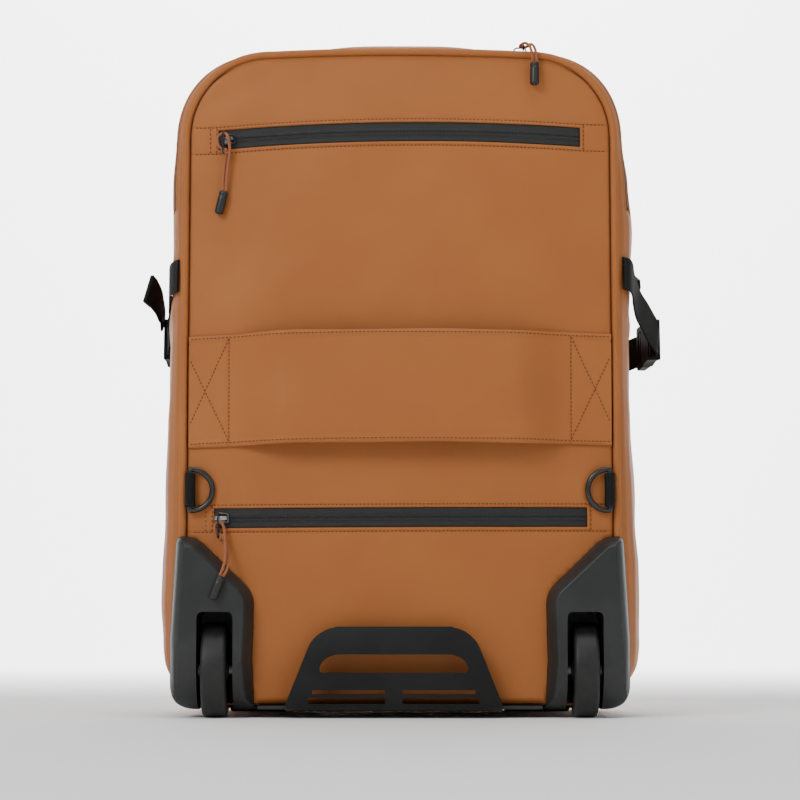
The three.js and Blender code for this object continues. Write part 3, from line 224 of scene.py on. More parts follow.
class Finish:
    """A material under construction: its coordinates, textures, mixes and final shader."""

    def __init__(self, name):
        self.material = bpy.data.materials.new(name)
        self.material.use_nodes = True
        self.tree = self.material.node_tree
        self.shader = self.tree.nodes["Principled BSDF"]

    def add(self, kind, settings=None, inputs=None, output=0):
        return add_node(self.tree, kind, settings, inputs, output)

    def place(self):
        """Object coordinates, in millimetres."""
        point = self.add("ShaderNodeTexCoord", output="Object")
        return self.add("ShaderNodeVectorMath", dict(operation="SCALE"), {0: point, "Scale": 1 / MM})

    def surface(self):
        """The piece's own two parameters, in millimetres along the cloth."""
        uv = self.add("ShaderNodeUVMap", dict(uv_map="cloth"))
        return [self.add("ShaderNodeSeparateXYZ", None, {0: uv}, axis) for axis in "XY"]

    def attribute(self, name):
        return self.add("ShaderNodeAttribute", dict(attribute_name=name), output="Fac")

    def noise(self, vector, scale, detail=2.0, rough=0.5):
        return self.add("ShaderNodeTexNoise", None,
                        {"Vector": vector, "Scale": scale, "Detail": detail, "Roughness": rough})

    def blend(self, factor, first, second):
        return self.add("ShaderNodeMix", dict(data_type="RGBA"),
                        {0: factor, 6: colour4(first), 7: colour4(second)}, 2)

    def bump(self, height, strength, distance_mm):
        return self.add("ShaderNodeBump", None,
                        {"Height": height, "Strength": strength, "Distance": distance_mm * MM})

    def end(self, **inputs):
        names = dict(colour="Base Color", rough="Roughness", metal="Metallic", normal="Normal",
                     sheen="Sheen Weight", coat="Coat Weight", specular="Specular IOR Level")
        for key, value in inputs.items():
            socket = self.shader.inputs[names[key]]
            if isinstance(value, Signal):
                self.tree.links.new(value.socket, socket)
            else:
                socket.default_value = colour4(value) if key == "colour" else value
        return self.material


def colour4(value):
    return value if isinstance(value, Signal) else (*value, 1.0)


def from_srgb(*levels):
    """Linear colour from display levels of 0 to 255."""
    share = np.array(levels) / 255
    return tuple(np.where(share <= 0.04045, share / 12.92, ((share + 0.055) / 1.055) ** 2.4))


# Materials

TAN = from_srgb(171, 104, 52)
TAN_DEEP = from_srgb(164, 97, 47)
TAN_THREAD = from_srgb(112, 56, 22)
# Dark brown of the seams: the thread's colour, with painted shade in the sunk grooves
SEAM_THREAD_AND_SHADE = from_srgb(58, 28, 16)


def pale_floor():
    f = Finish("pale_floor")
    return f.end(colour=(0.92, 0.92, 0.92), rough=0.9, specular=0.1)


def tan_cloth():
    """Coated twill: slanting ribs with a broken grain, slow drifts of tone, and dark at the seams: dark
    thread there and painted shade where the seams sink.
    """
    f = Finish("tan_cloth")
    u, v = f.surface()
    place = f.place()
    ribs = (u + v * 1.15).ribs(1.5)
    cross = (u * 1.15 - v).ribs(1.9)
    grain = f.noise(place, 1.1, 3.0, 0.6)
    drift = f.noise(place, 0.012, 3.0, 0.5)
    weave = ribs * 0.32 + cross * 0.14 + grain * 0.9
    tone = drift.smooth(0.3, 0.7) * 0.75 + grain * 0.25
    # The seam mask darkens the cloth: dark thread along the seams, and painted shade in the sunk grooves
    # and hollows beside them
    seam = f.attribute("seam")
    colour = f.blend(tone, TAN_DEEP, TAN)
    colour = f.blend(ribs.smooth(-1, 1) * 0.06, colour, TAN_DEEP)
    colour = f.blend(seam.smooth(0.0, 1.0), colour, SEAM_THREAD_AND_SHADE)
    rough = 0.5 + grain * 0.12 + seam * 0.25
    return f.end(colour=colour, rough=rough, normal=f.bump(weave, 0.16, 0.12), specular=0.28)


def sewing_thread():
    """Sewing thread: two plies wound round each other, seen as broken bands."""
    f = Finish("sewing_thread")
    plies = f.noise(f.place(), 2.2, 2.0)
    return f.end(colour=f.blend(plies, TAN_THREAD, tuple(c * 0.6 for c in TAN_THREAD)), rough=0.6,
                 normal=f.bump(plies, 0.3, 0.1))


def braided_cord():
    """Two families of strands crossing round the cord, with painted shade in the grooves between them."""
    f = Finish("braided_cord")
    u, v = f.surface()
    braid = (u * 1.6 + v).ribs(1.6).most((u * 1.6 - v).ribs(1.6))
    # Painted shade: the colour darkens in the low grooves between the strands
    colour = f.blend(braid.smooth(-0.4, 1.0), from_srgb(104, 54, 26), from_srgb(184, 106, 58))
    return f.end(colour=colour, rough=0.62, normal=f.bump(braid, 0.5, 0.25), sheen=0.1)


def webbing_weave():
    """Flat woven band: ribs across, broken by the warp."""
    f = Finish("webbing_weave")
    u, v = f.surface()
    ribs = u.ribs(1.5)
    weave = ribs * v.ribs(1.1)
    fuzz = f.noise(f.place(), 2.0, 3.0)
    # Painted shade: the colour follows the weave's height, darker where it sinks
    tone = weave.smooth(-1, 1) * 0.6 + fuzz * 0.4
    return f.end(colour=f.blend(tone, (0.004, 0.004, 0.004), (0.016, 0.016, 0.015)), rough=0.82,
                 normal=f.bump(weave + ribs * 0.6 + fuzz * 0.4, 0.5, 0.2), specular=0.2)


def zip_coil():
    """Black tape with the coil under it: slanting ribs with painted highlights on their crests and painted
    shade between them, meeting at a middle line of painted shade.
    """
    f = Finish("zip_coil")
    u, v = f.surface()
    ribs = (u + v.size() * 0.9).ribs(1.35)
    on_coil = v.size().smooth(2.6, 2.2)
    # Painted shade in the gap along the middle line where the two coils meet
    slit_shade = v.size().smooth(0.8, 0.2) * (0.55 + u.ribs(2.7) * 0.45)
    weave = u.ribs(0.8) * v.ribs(0.8)
    height = ribs * on_coil * 0.8 + weave * (1 - on_coil) * 0.3
    # Painted light: the coil's colour follows its ribs, lighter on the crests and darker in the troughs
    tone = ribs.smooth(-1, 1) * on_coil + (1 - on_coil) * 0.45
    colour = f.blend(tone, from_srgb(16, 17, 17), from_srgb(58, 60, 59))
    colour = f.blend(slit_shade, colour, (0.006, 0.006, 0.006))
    return f.end(colour=colour, rough=0.6 - tone * 0.15, normal=f.bump(height, 0.6, 0.35), specular=0.3)


def moulded(name, dark, light, rough, grain_mm=0.5, relief=0.06, specular=0.45):
    """Moulded plastic: a fine eroded grain, slow drifts of tone and a little polish where it is high."""
    f = Finish(name)
    place = f.place()
    grain = f.noise(place, 1 / grain_mm, 3.0, 0.6)
    drift = f.noise(place, 0.03, 3.0)
    tone = drift.smooth(0.3, 0.7) * 0.7 + grain * 0.3
    return f.end(colour=f.blend(tone, dark, light), rough=rough + grain * 0.14 - drift * 0.05,
                 normal=f.bump(grain, 0.35, relief), specular=specular)


def tread_rubber():
    """Smooth rubber, paler in slow patches, with faint rings round the axle."""
    f = Finish("tread_rubber")
    place = f.place()
    rings = f.add("ShaderNodeSeparateXYZ", None, {0: place}, "X").ribs(1.7)
    dust = f.noise(place, 0.12, 4.0, 0.6)
    grain = f.noise(place, 1.6, 2.0)
    tone = dust.smooth(0.35, 0.75) * 0.7 + rings * 0.05
    return f.end(colour=f.blend(tone, (0.006, 0.0066, 0.0063), (0.014, 0.0152, 0.0146)),
                 rough=0.42 + dust * 0.2, normal=f.bump(grain + rings * 0.2, 0.25, 0.06), specular=0.5)


def cast_metal(name, tint, rough):
    """Cast and plated metal with a faint orange peel and duller low spots."""
    f = Finish(name)
    peel = f.noise(f.place(), 0.9, 3.0)
    return f.end(colour=f.blend(peel, tint, tuple(c * 0.7 for c in tint)), metal=0.9,
                 rough=rough + peel * 0.15, normal=f.bump(peel, 0.15, 0.05))


def black_wire():
    f = Finish("black_wire")
    peel = f.noise(f.place(), 0.8, 2.0)
    return f.end(colour=f.blend(peel, (0.010, 0.010, 0.010), (0.028, 0.028, 0.028)), metal=0.3,
                 rough=0.22 + peel * 0.2, normal=f.bump(peel, 0.1, 0.05), coat=0.4)


# Meshes

def piece_from(name, points, corners, material, body="bag", slot=None, uv=None, seam=None,
               facing=None, sharp=None, node=None):
    """A mesh from points in millimetres and corner indices, turned out, with its own parameters."""
    points = np.asarray(points, float)
    corners = np.asarray(corners)
    flat = points[corners]
    normals = np.cross(flat[:, 1] - flat[:, 0], flat[:, 2] - flat[:, 0])
    normals += np.cross(flat[:, 2] - flat[:, 0], flat[:, -1] - flat[:, 0])
    outward = flat.mean(axis=1) - points.mean(axis=0) if facing is None else np.array(facing, float)
    if (normals * outward).sum() < 0:
        corners = corners[:, ::-1]
        uv = None if uv is None else uv[:, ::-1]
    mesh = bpy.data.meshes.new(name)
    mesh.from_pydata((points * MM).tolist(), [], corners.tolist())
    mesh.polygons.foreach_set("use_smooth", np.ones(len(mesh.polygons), bool))
    if uv is not None:
        mesh.uv_layers.new(name="cloth").data.foreach_set("uv", np.ravel(uv))
    if seam is not None:
        mesh.attributes.new("seam", "FLOAT", "POINT").data.foreach_set("value", np.ravel(seam))
    if sharp is not None:
        mesh.set_sharp_from_angle(angle=math.radians(sharp))
    if material:
        mesh.materials.append(material)
    piece = add_object(name, mesh)
    if body:
        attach(piece, body)
    if node:
        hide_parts(node)
    return piece


def grid_corners(rows, columns, ring_rows=False, ring_columns=False):
    """Quads of a grid, and for each corner its row and column before wrapping round."""
    i, j = np.meshgrid(np.arange(rows - (not ring_rows)), np.arange(columns - (not ring_columns)),
                       indexing="ij")
    i, j = i.ravel(), j.ravel()
    row = np.stack([i, i + 1, i + 1, i], 1)
    column = np.stack([j, j, j + 1, j + 1], 1)
    return (row % rows) * columns + column % columns, row, column


def grid_piece(name, points, material, uv=None, seam=None, ring_rows=False, ring_columns=False,
               keep=None, capped=False, **more):
    """A surface through a grid of points. Keep drops quads by their middle; capped closes the ends."""
    rows, columns = points.shape[:2]
    corners, row, column = grid_corners(rows, columns, ring_rows, ring_columns)
    flat = points.reshape(-1, 3)
    if uv is None:
        uv = arc_lengths(points, ring_rows, ring_columns)
    corner_uv = uv[row, column]
    if keep is not None:
        held = keep(flat[corners].mean(axis=1))
        corners, corner_uv = corners[held], corner_uv[held]
        used, corners = np.unique(corners, return_inverse=True)
        corners = corners.reshape(-1, 4)
        flat = flat[used]
        seam = None if seam is None else np.ravel(seam)[used]
    if capped:
        flat, corners, corner_uv = with_caps(flat, corners, corner_uv, rows, columns)
        seam = None if seam is None else np.append(seam, [0, 0])
    return piece_from(name, flat, corners, material, uv=corner_uv, seam=seam, **more)


def tube(name, rings, material, **more):
    """A surface through rings, with both ends closed."""
    return grid_piece(name, np.asarray(rings), material, ring_columns=True, capped=True, **more)


def torus(name, rings, material, **more):
    return grid_piece(name, rings, material, ring_rows=True, ring_columns=True, **more)


def with_caps(flat, corners, corner_uv, rows, columns):
    """Closes the first and last ring of a tube with quads fanned to a middle point."""
    middles = [flat[:columns].mean(axis=0), flat[-columns:].mean(axis=0)]
    count = len(flat)
    flat = np.vstack([flat, middles])
    j = np.arange(0, columns, 2)
    caps = []
    for start, middle, turned in ((0, count, True), ((rows - 1) * columns, count + 1, False)):
        fan = np.stack([np.full_like(j, middle), start + j, start + (j + 1) % columns,
                        start + (j + 2) % columns], 1)
        caps.append(fan[:, ::-1] if turned else fan)
    corners = np.vstack([corners, *caps])
    corner_uv = np.concatenate([corner_uv, np.zeros((2 * len(j), 4, 2))])
    return flat, corners, corner_uv


def arc_lengths(points, ring_rows=False, ring_columns=False):
    """Surface parameters: the length along the middle row and down the middle column."""
    rows, columns = points.shape[:2]
    down = points[:, columns // 2]
    along = points[rows // 2]
    if ring_rows:
        down = np.vstack([down, down[:1]])
    if ring_columns:
        along = np.vstack([along, along[:1]])
    return np.stack(np.meshgrid(runs(along), runs(down)), -1)


def add_modifier(piece, kind, **settings):
    modifier = piece.modifiers.new(kind.lower(), kind)
    for key, value in settings.items():
        setattr(modifier, key, value)


def thicken(piece, thickness):
    """Gives a sheet its wall, inwards."""
    add_modifier(piece, "SOLIDIFY", thickness=thickness * MM, offset=-1.0)


def ease_edges(piece, width, segments=2, angle=35):
    """Rounds the sharp edges by a small width."""
    add_modifier(piece, "BEVEL", width=width * MM, segments=segments, limit_method="ANGLE",
                 angle_limit=math.radians(angle), harden_normals=False)


def carve(piece, sharp, *holes):
    """Cuts holes through a piece, each an outline in x and z between two depths."""
    cutters = [tube("cutter", [upright(outline, y) for y in (back, front)], None, body=None)
               for outline, back, front in holes]
    for cutter in cutters:
        add_modifier(piece, "BOOLEAN", operation="DIFFERENCE", solver="EXACT", object=cutter)
    bpy.context.view_layer.update()
    graph = bpy.context.evaluated_depsgraph_get()
    mesh = bpy.data.meshes.new_from_object(piece.evaluated_get(graph))
    piece.modifiers.clear()
    piece.data = mesh
    mesh.set_sharp_from_angle(angle=math.radians(sharp))
    for cutter in cutters:
        bpy.data.objects.remove(cutter, do_unlink=True)


# Curves and sections

def eased(x):
    return x * x * (3 - 2 * x)


def step(x, low, high):
    """Smooth step from 0 at low to 1 at high."""
    return eased(np.clip((x - low) / (high - low), 0, 1))


def hump(x, middle, half):
    """One smooth hump of height 1."""
    return eased(np.clip(1 - np.abs(x - middle) / half, 0, 1))


def read_table(table, column, at, ease=False):
    """Reading of a table between rows sorted on the first column."""
    at = np.asarray(at, float)
    if not ease:
        return np.interp(at, table[:, 0], table[:, column])
    i = np.clip(np.searchsorted(table[:, 0], at, side="right") - 1, 0, len(table) - 2)
    low, high = table[i, 0], table[i + 1, 0]
    share = eased(np.clip((at - low) / (high - low), 0, 1))
    return table[i, column] * (1 - share) + table[i + 1, column] * share


def smooth_path(points, count):
    """A Catmull-Rom curve through the points, at even steps of its length."""
    p = np.asarray(points, float)
    ends = np.vstack([2 * p[0] - p[1], p, 2 * p[-1] - p[-2]])
    t = np.linspace(0, len(p) - 1, 24 * len(p))
    k = np.clip(t.astype(int), 0, len(p) - 2)
    f = (t - k)[:, None]
    a, b, c, d = ends[k], ends[k + 1], ends[k + 2], ends[k + 3]
    fine = 0.5 * (2 * b + (c - a) * f + (2 * a - 5 * b + 4 * c - d) * f ** 2
                  + (3 * b - a - 3 * c + d) * f ** 3)
    return even_steps(fine, count)


def runs(line):
    """The length of a line up to each of its points."""
    return np.concatenate([[0], np.cumsum(np.linalg.norm(np.diff(line, axis=0), axis=1))])


def even_steps(line, count):
    length = runs(line)
    at = np.linspace(0, length[-1], count)
    return np.stack([np.interp(at, length, line[:, k]) for k in range(line.shape[1])], -1)


def path_length(line):
    return float(runs(line)[-1])


def unit(vectors):
    return vectors / np.linalg.norm(vectors, axis=-1, keepdims=True)


def sweep(line, section, reference, closed=False):
    """Carries a section, in two coordinates, along a line. The second follows the reference."""
    line = np.asarray(line, float)
    if closed:
        along = unit(np.roll(line, -1, axis=0) - np.roll(line, 1, axis=0))
    else:
        along = unit(np.gradient(line, axis=0))
    side = unit(np.cross(along, np.broadcast_to(reference, line.shape)))
    up = np.cross(side, along)
    return line[:, None] + section[..., :1] * side[:, None] + section[..., 1:] * up[:, None]


def turns(count):
    return 2 * math.pi * np.arange(count) / count


def bell(distance, width):
    return np.exp(-(distance / width) ** 2)


def box_distance(dx, dz):
    """Distance outside a box from the distances past its sides, below zero inside it."""
    return np.hypot(np.maximum(dx, 0), np.maximum(dz, 0)) + np.minimum(np.maximum(dx, dz), 0)


def upright(outline, y):
    """An outline in x and z, stood at one depth."""
    return np.stack([outline[:, 0], np.full(len(outline), y), outline[:, 1]], -1)


def rounded_box(left, right, low, high, low_r, high_r, steps):
    return rounded_outline([(left, low, low_r), (right, low, low_r), (right, high, high_r),
                            (left, high, high_r)], steps)


def circle(radius, sides):
    angle = turns(sides)
    return radius * np.stack([np.cos(angle), np.sin(angle)], -1)


def rounded_bar(width, height, radius, steps=4):
    """Section of a flat bar with rounded edges."""
    angle = np.linspace(0, math.pi / 2, steps)
    arc = radius * np.stack([np.cos(angle), np.sin(angle)], -1)
    quarter = arc + (width / 2 - radius, height / 2 - radius)
    half = np.vstack([quarter, quarter[::-1] * (-1, 1)])
    return np.vstack([half, -half])


def rounded_outline(corners, steps):
    """Corner points with radii made into an outline whose corners are arcs."""
    outline = []
    count = len(corners)
    for i in range(count):
        at = np.array(corners[i][:2], float)
        before = np.array(corners[i - 1][:2], float) - at
        after = np.array(corners[(i + 1) % count][:2], float) - at
        la, lb = np.linalg.norm(before), np.linalg.norm(after)
        angle = math.acos(np.clip(before @ after / la / lb, -1, 1))
        cut = min(corners[i][2] / math.tan(angle / 2), 0.48 * min(la, lb))
        start, end = at + before / la * cut, at + after / lb * cut
        t = np.linspace(0, 1, steps)[:, None]
        outline.append((1 - t) ** 2 * start + 2 * t * (1 - t) * at + t ** 2 * end)
    return np.vstack(outline)


def inset_corners(corners, distance):
    """The same corners, counterclockwise, with the edges moved inwards."""
    moved = []
    count = len(corners)
    for i, (x, z, r) in enumerate(corners):
        a = unit(np.array(corners[i - 1][:2], float) - (x, z))
        b = unit(np.array(corners[(i + 1) % count][:2], float) - (x, z))
        shift = (a + b) * distance / (b[0] * a[1] - b[1] * a[0])
        moved.append((x + shift[0], z + shift[1], max(r - distance, 1.0)))
    return moved


def inside_outline(outline, x, z):
    """Even-odd test of points against an outline."""
    ax, az = outline[:, 0], outline[:, 1]
    bx, bz = np.roll(ax, -1), np.roll(az, -1)
    x, z = np.asarray(x)[:, None], np.asarray(z)[:, None]
    crosses = (az > z) != (bz > z)
    with np.errstate(divide="ignore", invalid="ignore"):
        at = ax + (z - az) * (bx - ax) / (bz - az)
    return (np.sum(crosses & (x < at), axis=1) % 2) == 1


# Pull cords and their ends

def make_cords():
    """Three looped cords: round tubes along their routes, with a moulded end on each."""
    material = braided_cord()
    end_material = moulded("cord_end", (0.010, 0.011, 0.0105), (0.024, 0.026, 0.025), 0.34, 0.8, 0.03)
    knot_places = {"upper": [-130.4, -101.2, 420.6], "lower": [-130.8, -103.2, 132.4], "main": None}
    routes = {"upper": (UPPER_CORD_ROUTE, (0, 1, 0)), "lower": (LOWER_CORD_ROUTE, (0, 1, 0)),
              "main": (MAIN_CORD_ROUTE, (1, 0, 0))}
    for name, (route, reference) in routes.items():
        line = smooth_path(route, 220)
        cord = tube(f"pull_cord_{name}", sweep(line, circle(CORD_D / 2, 12), reference), material,
                    slot="pull_cord", node=f"zip_{name}_cord")
        pieces = [cord_end(name, end_material)]
        if knot_places[name]:
            pieces.append(knot(name, knot_places[name], material))


def cord_end(name, material):
    """A rod with rounded rims and a flat band near its mouth."""
    top, down = (np.array(v, float) for v in CORD_ENDS[name])
    down = unit(down)
    r, long = CORD_END_D / 2, CORD_END_LONG
    profile = np.array([
        [1.9, 0.0], [r - 1.1, 0.15], [r - 0.35, 0.5], [r - 0.05, 1.1], [r - 0.05, 2.6],
        [r - 0.3, 2.9], [r - 0.3, 3.5], [r - 0.05, 3.8], [r, 6], [r, long - 2.0], [r - 0.1, long - 1.2],
        [r - 0.5, long - 0.5], [r - 1.2, long - 0.1], [r - 2.2, long],
    ])
    side = unit(np.cross(down, [0, 1, 0]))
    spokes = circle(1, 32) @ np.array([side, np.cross(down, side)])
    points = top + profile[:, None, :1] * spokes + profile[:, None, 1:] * down
    return tube(f"cord_end_{name}", points, material, slot="cord_end", node=f"zip_{name}_cord_end")


def knot(name, place, material):
    """An overhand knot, drawn tight: a three-lobed loop round the strands."""
    t = turns(90)
    radius = 1.25 + 0.75 * np.cos(3 * t)
    line = np.stack([radius * np.cos(2 * t) * 1.25, 1.1 * np.sin(3 * t) - 0.5,
                     radius * np.sin(2 * t)], -1) + np.array(place)
    rings = sweep(line, circle(CORD_D * 0.42, 10), (0.15, 1, 0.1), closed=True)
    return torus(f"pull_knot_{name}", rings, material, slot="pull_cord")


place_camera()
make_cords()

# The bag's form

HOUSING_OUTLINE = [
    # x, z, radius, counterclockwise on the right-hand side
    (165.6, 134.5, 6), (150, 132.5, 18), (107, 92, 22), (109.2, 42, 30),
    (106, 5.8, 1), (169.8, 5.8, 20), (170, 58, 40),
]
HOUSING_FRONT_Y, HOUSING_BACK_Y, HOUSING_CHAMFER_Y, HOUSING_BORDER = -43.0, -112.0, -97.0, 7.5
HOUSING_LOW, HOUSING_UNDER_R = 5.8, 34.0
WHEEL_R, WHEEL_WIDTH, WHEEL_X, WHEEL_Y, TYRE_INNER_R, AXLE_R = 35.0, 18.6, 137.0, -85.0, 24.0, 4.0
SLOT_X, SLOT_WIDTH, SLOT_TOP, SLOT_CORNER, SLOT_FRONT_Y = 136.2, 26.6, 78.0, 5.0, -46.0


def bag_half(z):
    return BAG_HALF_BOTTOM + (BAG_HALF_TOP - BAG_HALF_BOTTOM) * (z - BAG_BOTTOM) / BAG_HEIGHT


def panel_y(x, z, seam, bulge, power):
    """Two swelling curves, across and up, multiplied."""
    across = 1 - np.minimum(np.abs(x) / BAG_HALF_TOP, 1) ** power
    up = 1 - np.minimum(np.abs(z - BAG_MIDDLE) / (BAG_HEIGHT / 2), 1) ** 4
    return seam + bulge * across * up


def back_panel_y(x, z):
    return panel_y(x, z, BACK_SEAM_Y, -BACK_BULGE, 2.4)


def front_panel_y(x, z):
    return panel_y(x, z, FRONT_SEAM_Y, FRONT_BULGE, 3)


def seam_loop(count):
    """The seam outline, once round from the bottom's middle, at even steps: x, z and its normal."""
    bottom, top = BAG_HALF_BOTTOM - BOTTOM_CORNER, BAG_HALF_TOP - TOP_CORNER
    low, high = BAG_BOTTOM + BOTTOM_CORNER, BAG_TOP - TOP_CROWN - TOP_CORNER
    a = np.linspace(-math.pi / 2, 0, 60)
    b = np.linspace(0, math.pi / 2, 80)
    rise = np.linspace(low, high, 60)
    across = np.linspace(top, 0, 60)
    level = np.linspace(0, bottom, 40)
    parts = [
        np.stack([level, np.full(40, BAG_BOTTOM)], -1),
        np.stack([bottom + BOTTOM_CORNER * np.cos(a), low + BOTTOM_CORNER * np.sin(a)], -1),
        np.stack([bag_half(rise), rise], -1),
        np.stack([top + TOP_CORNER * np.cos(b), high + TOP_CORNER * np.sin(b)], -1),
        np.stack([across, BAG_TOP - TOP_CROWN * (across / top) ** 2], -1),
    ]
    half = np.vstack(parts)
    whole = np.vstack([half, half[::-1] * (-1, 1)])
    line = even_steps(whole, count + 1)[:-1]
    along = unit(np.roll(line, -1, axis=0) - np.roll(line, 1, axis=0))
    normal = np.stack([along[:, 1], -along[:, 0]], -1)
    return line, normal


def gusset_swell(z, nx, nz, y):
    """How far the gusset stands out of the seam outline: side and top swells by the normal."""
    depth = (y - BACK_SEAM_Y) / (FRONT_SEAM_Y - BACK_SEAM_Y)
    height = (z - BAG_BOTTOM) / BAG_HEIGHT
    side = np.where(nx < 0, read_table(SIDE_HEIGHTS, 1, height, True),
                    read_table(SIDE_HEIGHTS, 2, height, True))
    across = read_table(GUSSET_DEPTHS, 1, depth)
    swell = SIDE_BULGE * side * across * nx ** 2
    top = TOP_BULGE * read_table(GUSSET_DEPTHS, 2, depth) + nx ** 2 * 4 * CORNER_BULGE * across
    return swell + np.where(nz > 0, nz ** 2 * top, 0)


def side_x(side, y, z):
    """The gusset's outer face on one side, as an x."""
    return side * (bag_half(z) + gusset_swell(z, side, 0, y))


def soft_waves(x, z, seed):
    """A sum of slow sine waves in fixed directions, between about -1 and 1."""
    random = np.random.default_rng(seed)
    total = np.zeros(np.broadcast(x, z).shape)
    for _ in range(7):
        angle, phase, length = random.uniform(0, math.pi), random.uniform(0, 7), random.uniform(45, 150)
        total += np.sin((x * math.cos(angle) + z * math.sin(angle)) * 2 * math.pi / length + phase)
    return total / 4


def crease(x, z, start, end, width):
    """A straight crease between two places: 1 on its line, fading to its sides and its ends."""
    start, end = np.array(start, float), np.array(end, float)
    along = end - start
    length = np.linalg.norm(along)
    along = along / length
    s = ((x - start[0]) * along[0] + (z - start[1]) * along[1]) / length
    d = (x - start[0]) * along[1] - (z - start[1]) * along[0]
    fade = np.clip(4 * s * (1 - s), 0, 1)
    return bell(d, width * (0.4 + 0.6 * fade)) * fade


def zip_z(zip_, x):
    """The zip's middle height: a straight line between its ends with a crown."""
    middle = (zip_["left"] + zip_["right"]) / 2
    t = (x - middle) / ((zip_["right"] - zip_["left"]) / 2)
    mean = (zip_["z_left"] + zip_["z_right"]) / 2
    return mean + t * (zip_["z_right"] - zip_["z_left"]) / 2 + (zip_["z_middle"] - mean) * (1 - t * t)


def window_distance(zip_, x, z):
    """Distance outside a zip's window, below zero inside it."""
    centre, half = (zip_["left"] + zip_["right"]) / 2, (zip_["right"] - zip_["left"]) / 2
    bounded = np.clip(x, zip_["left"], zip_["right"])
    dx = np.abs(x - centre) - half
    dz = np.abs(z - zip_z(zip_, bounded)) - ZIP_HALF
    return box_distance(dx, dz)


# Where each zip's rows of stitches run, above and below its window
STITCH_ABOVE, STITCH_BELOW, STITCH_REACH = 2.2, 2.8, 153.5


def back_relief(x, z):
    """The worn panel's relief over its smooth form, outwards: hems, grooves, folds and slow waves. Also
    its seam mask: painted shade in the grooves and sunk window edges, dark thread with painted shade
    beside the piping.
    """
    relief = np.zeros(np.broadcast(x, z).shape)
    seam = np.zeros_like(relief)
    for zip_ in (UPPER_ZIP, LOWER_ZIP):
        d = window_distance(zip_, x, z)
        relief += 0.55 * hump(d, 1.0, 1.9) - 3.2 * step(-d, -0.15, 0.9)
        # Painted shade where the cloth sinks into the zip's window
        seam = np.maximum(seam, 0.75 * step(-d, 0.1, 1.0))
        wide = np.clip(x, zip_["left"], zip_["right"])
        for offset in (ZIP_HALF + STITCH_ABOVE, -ZIP_HALF - STITCH_BELOW):
            line = z - zip_z(zip_, wide) - offset
            relief -= 0.35 * bell(line, 0.8)
            # Painted shade along the grooves of the stitch rows
            seam = np.maximum(seam, 0.16 * bell(line, 0.9))
        for edge in (zip_["left"] - 6, zip_["left"] - 1, zip_["right"] + 2.5):
            line = np.where(np.abs(z - zip_z(zip_, wide)) < ZIP_HALF + 2.5, x - edge, 9.0)
            relief -= 0.3 * bell(line, 0.8)
    edge = edge_distance(x, z)
    relief += 0.5 * soft_waves(x, z, 3) * step(edge, 4, 40)
    relief -= 1.1 * bell(edge, 1.6)
    relief += 0.35 * np.sin(z / 5.2) * bell(edge, 7) * step(edge, 1, 4)
    for start, end, width, depth in BACK_CREASES:
        relief += depth * crease(x, z, start, end, width)
    # Dark thread and painted shade in the groove beside the piping
    seam = np.maximum(seam, bell(edge, 1.15))
    return relief, seam


# Creases of the worn panel: start and end in x and z, width, and depth (below zero sinks)
BACK_CREASES = [
    ((-150, 300), (-95, 392), 12, -0.9), ((-140, 292), (-60, 345), 10, 0.7),
    ((150, 300), (100, 380), 12, -0.8), ((140, 294), (70, 340), 9, 0.7),
    ((-146, 196), (-100, 172), 8, -0.7), ((146, 196), (104, 170), 8, -0.7),
    ((-150, 455), (-90, 480), 9, -0.7), ((150, 455), (95, 478), 9, -0.7),
    ((-60, 60), (-30, 130), 16, -0.8), ((62, 60), (40, 128), 16, -0.8),
    ((-20, 300), (30, 410), 22, 0.8), ((-118, 30), (-92, 96), 10, -0.6),
    ((118, 30), (92, 96), 10, -0.6), ((-142, 216), (-128, 140), 6, 0.6), ((142, 216), (130, 140), 6, 0.6),
]


def edge_distance(x, z):
    """Distance inside the piping's inner edge: that of a box with round corners."""
    half = bag_half(z)
    radius = np.where(z > BAG_MIDDLE, TOP_CORNER, BOTTOM_CORNER)
    top = BAG_TOP - TOP_CROWN * (x / (BAG_HALF_TOP - TOP_CORNER)) ** 2
    top = np.maximum(top, BAG_TOP - TOP_CROWN)
    dx = np.abs(x) - (half - radius)
    dz = np.where(z > BAG_MIDDLE, z - (top - radius), BAG_BOTTOM + radius - z)
    return radius - box_distance(dx, dz) - PIPING_R


def panel_columns(clusters, count):
    """Columns from side to side: even over the middle, closer round the corners and at the clusters."""
    a = np.linspace(-1, 1, count)
    core = (BAG_HALF_TOP - TOP_CORNER) / BAG_HALF_TOP
    bend = np.abs(a) - core
    share = np.clip(bend / (1 - core), 0, 1)
    x = np.where(bend > 0, core + (1 - core) * np.sin(share * math.pi / 2), np.abs(a)) * np.sign(a)
    x = x * BAG_HALF_TOP
    near = [c + np.linspace(-2.4, 2.4, 9) for c in clusters]
    return np.unique(np.round(np.concatenate([x, *near]), 3))


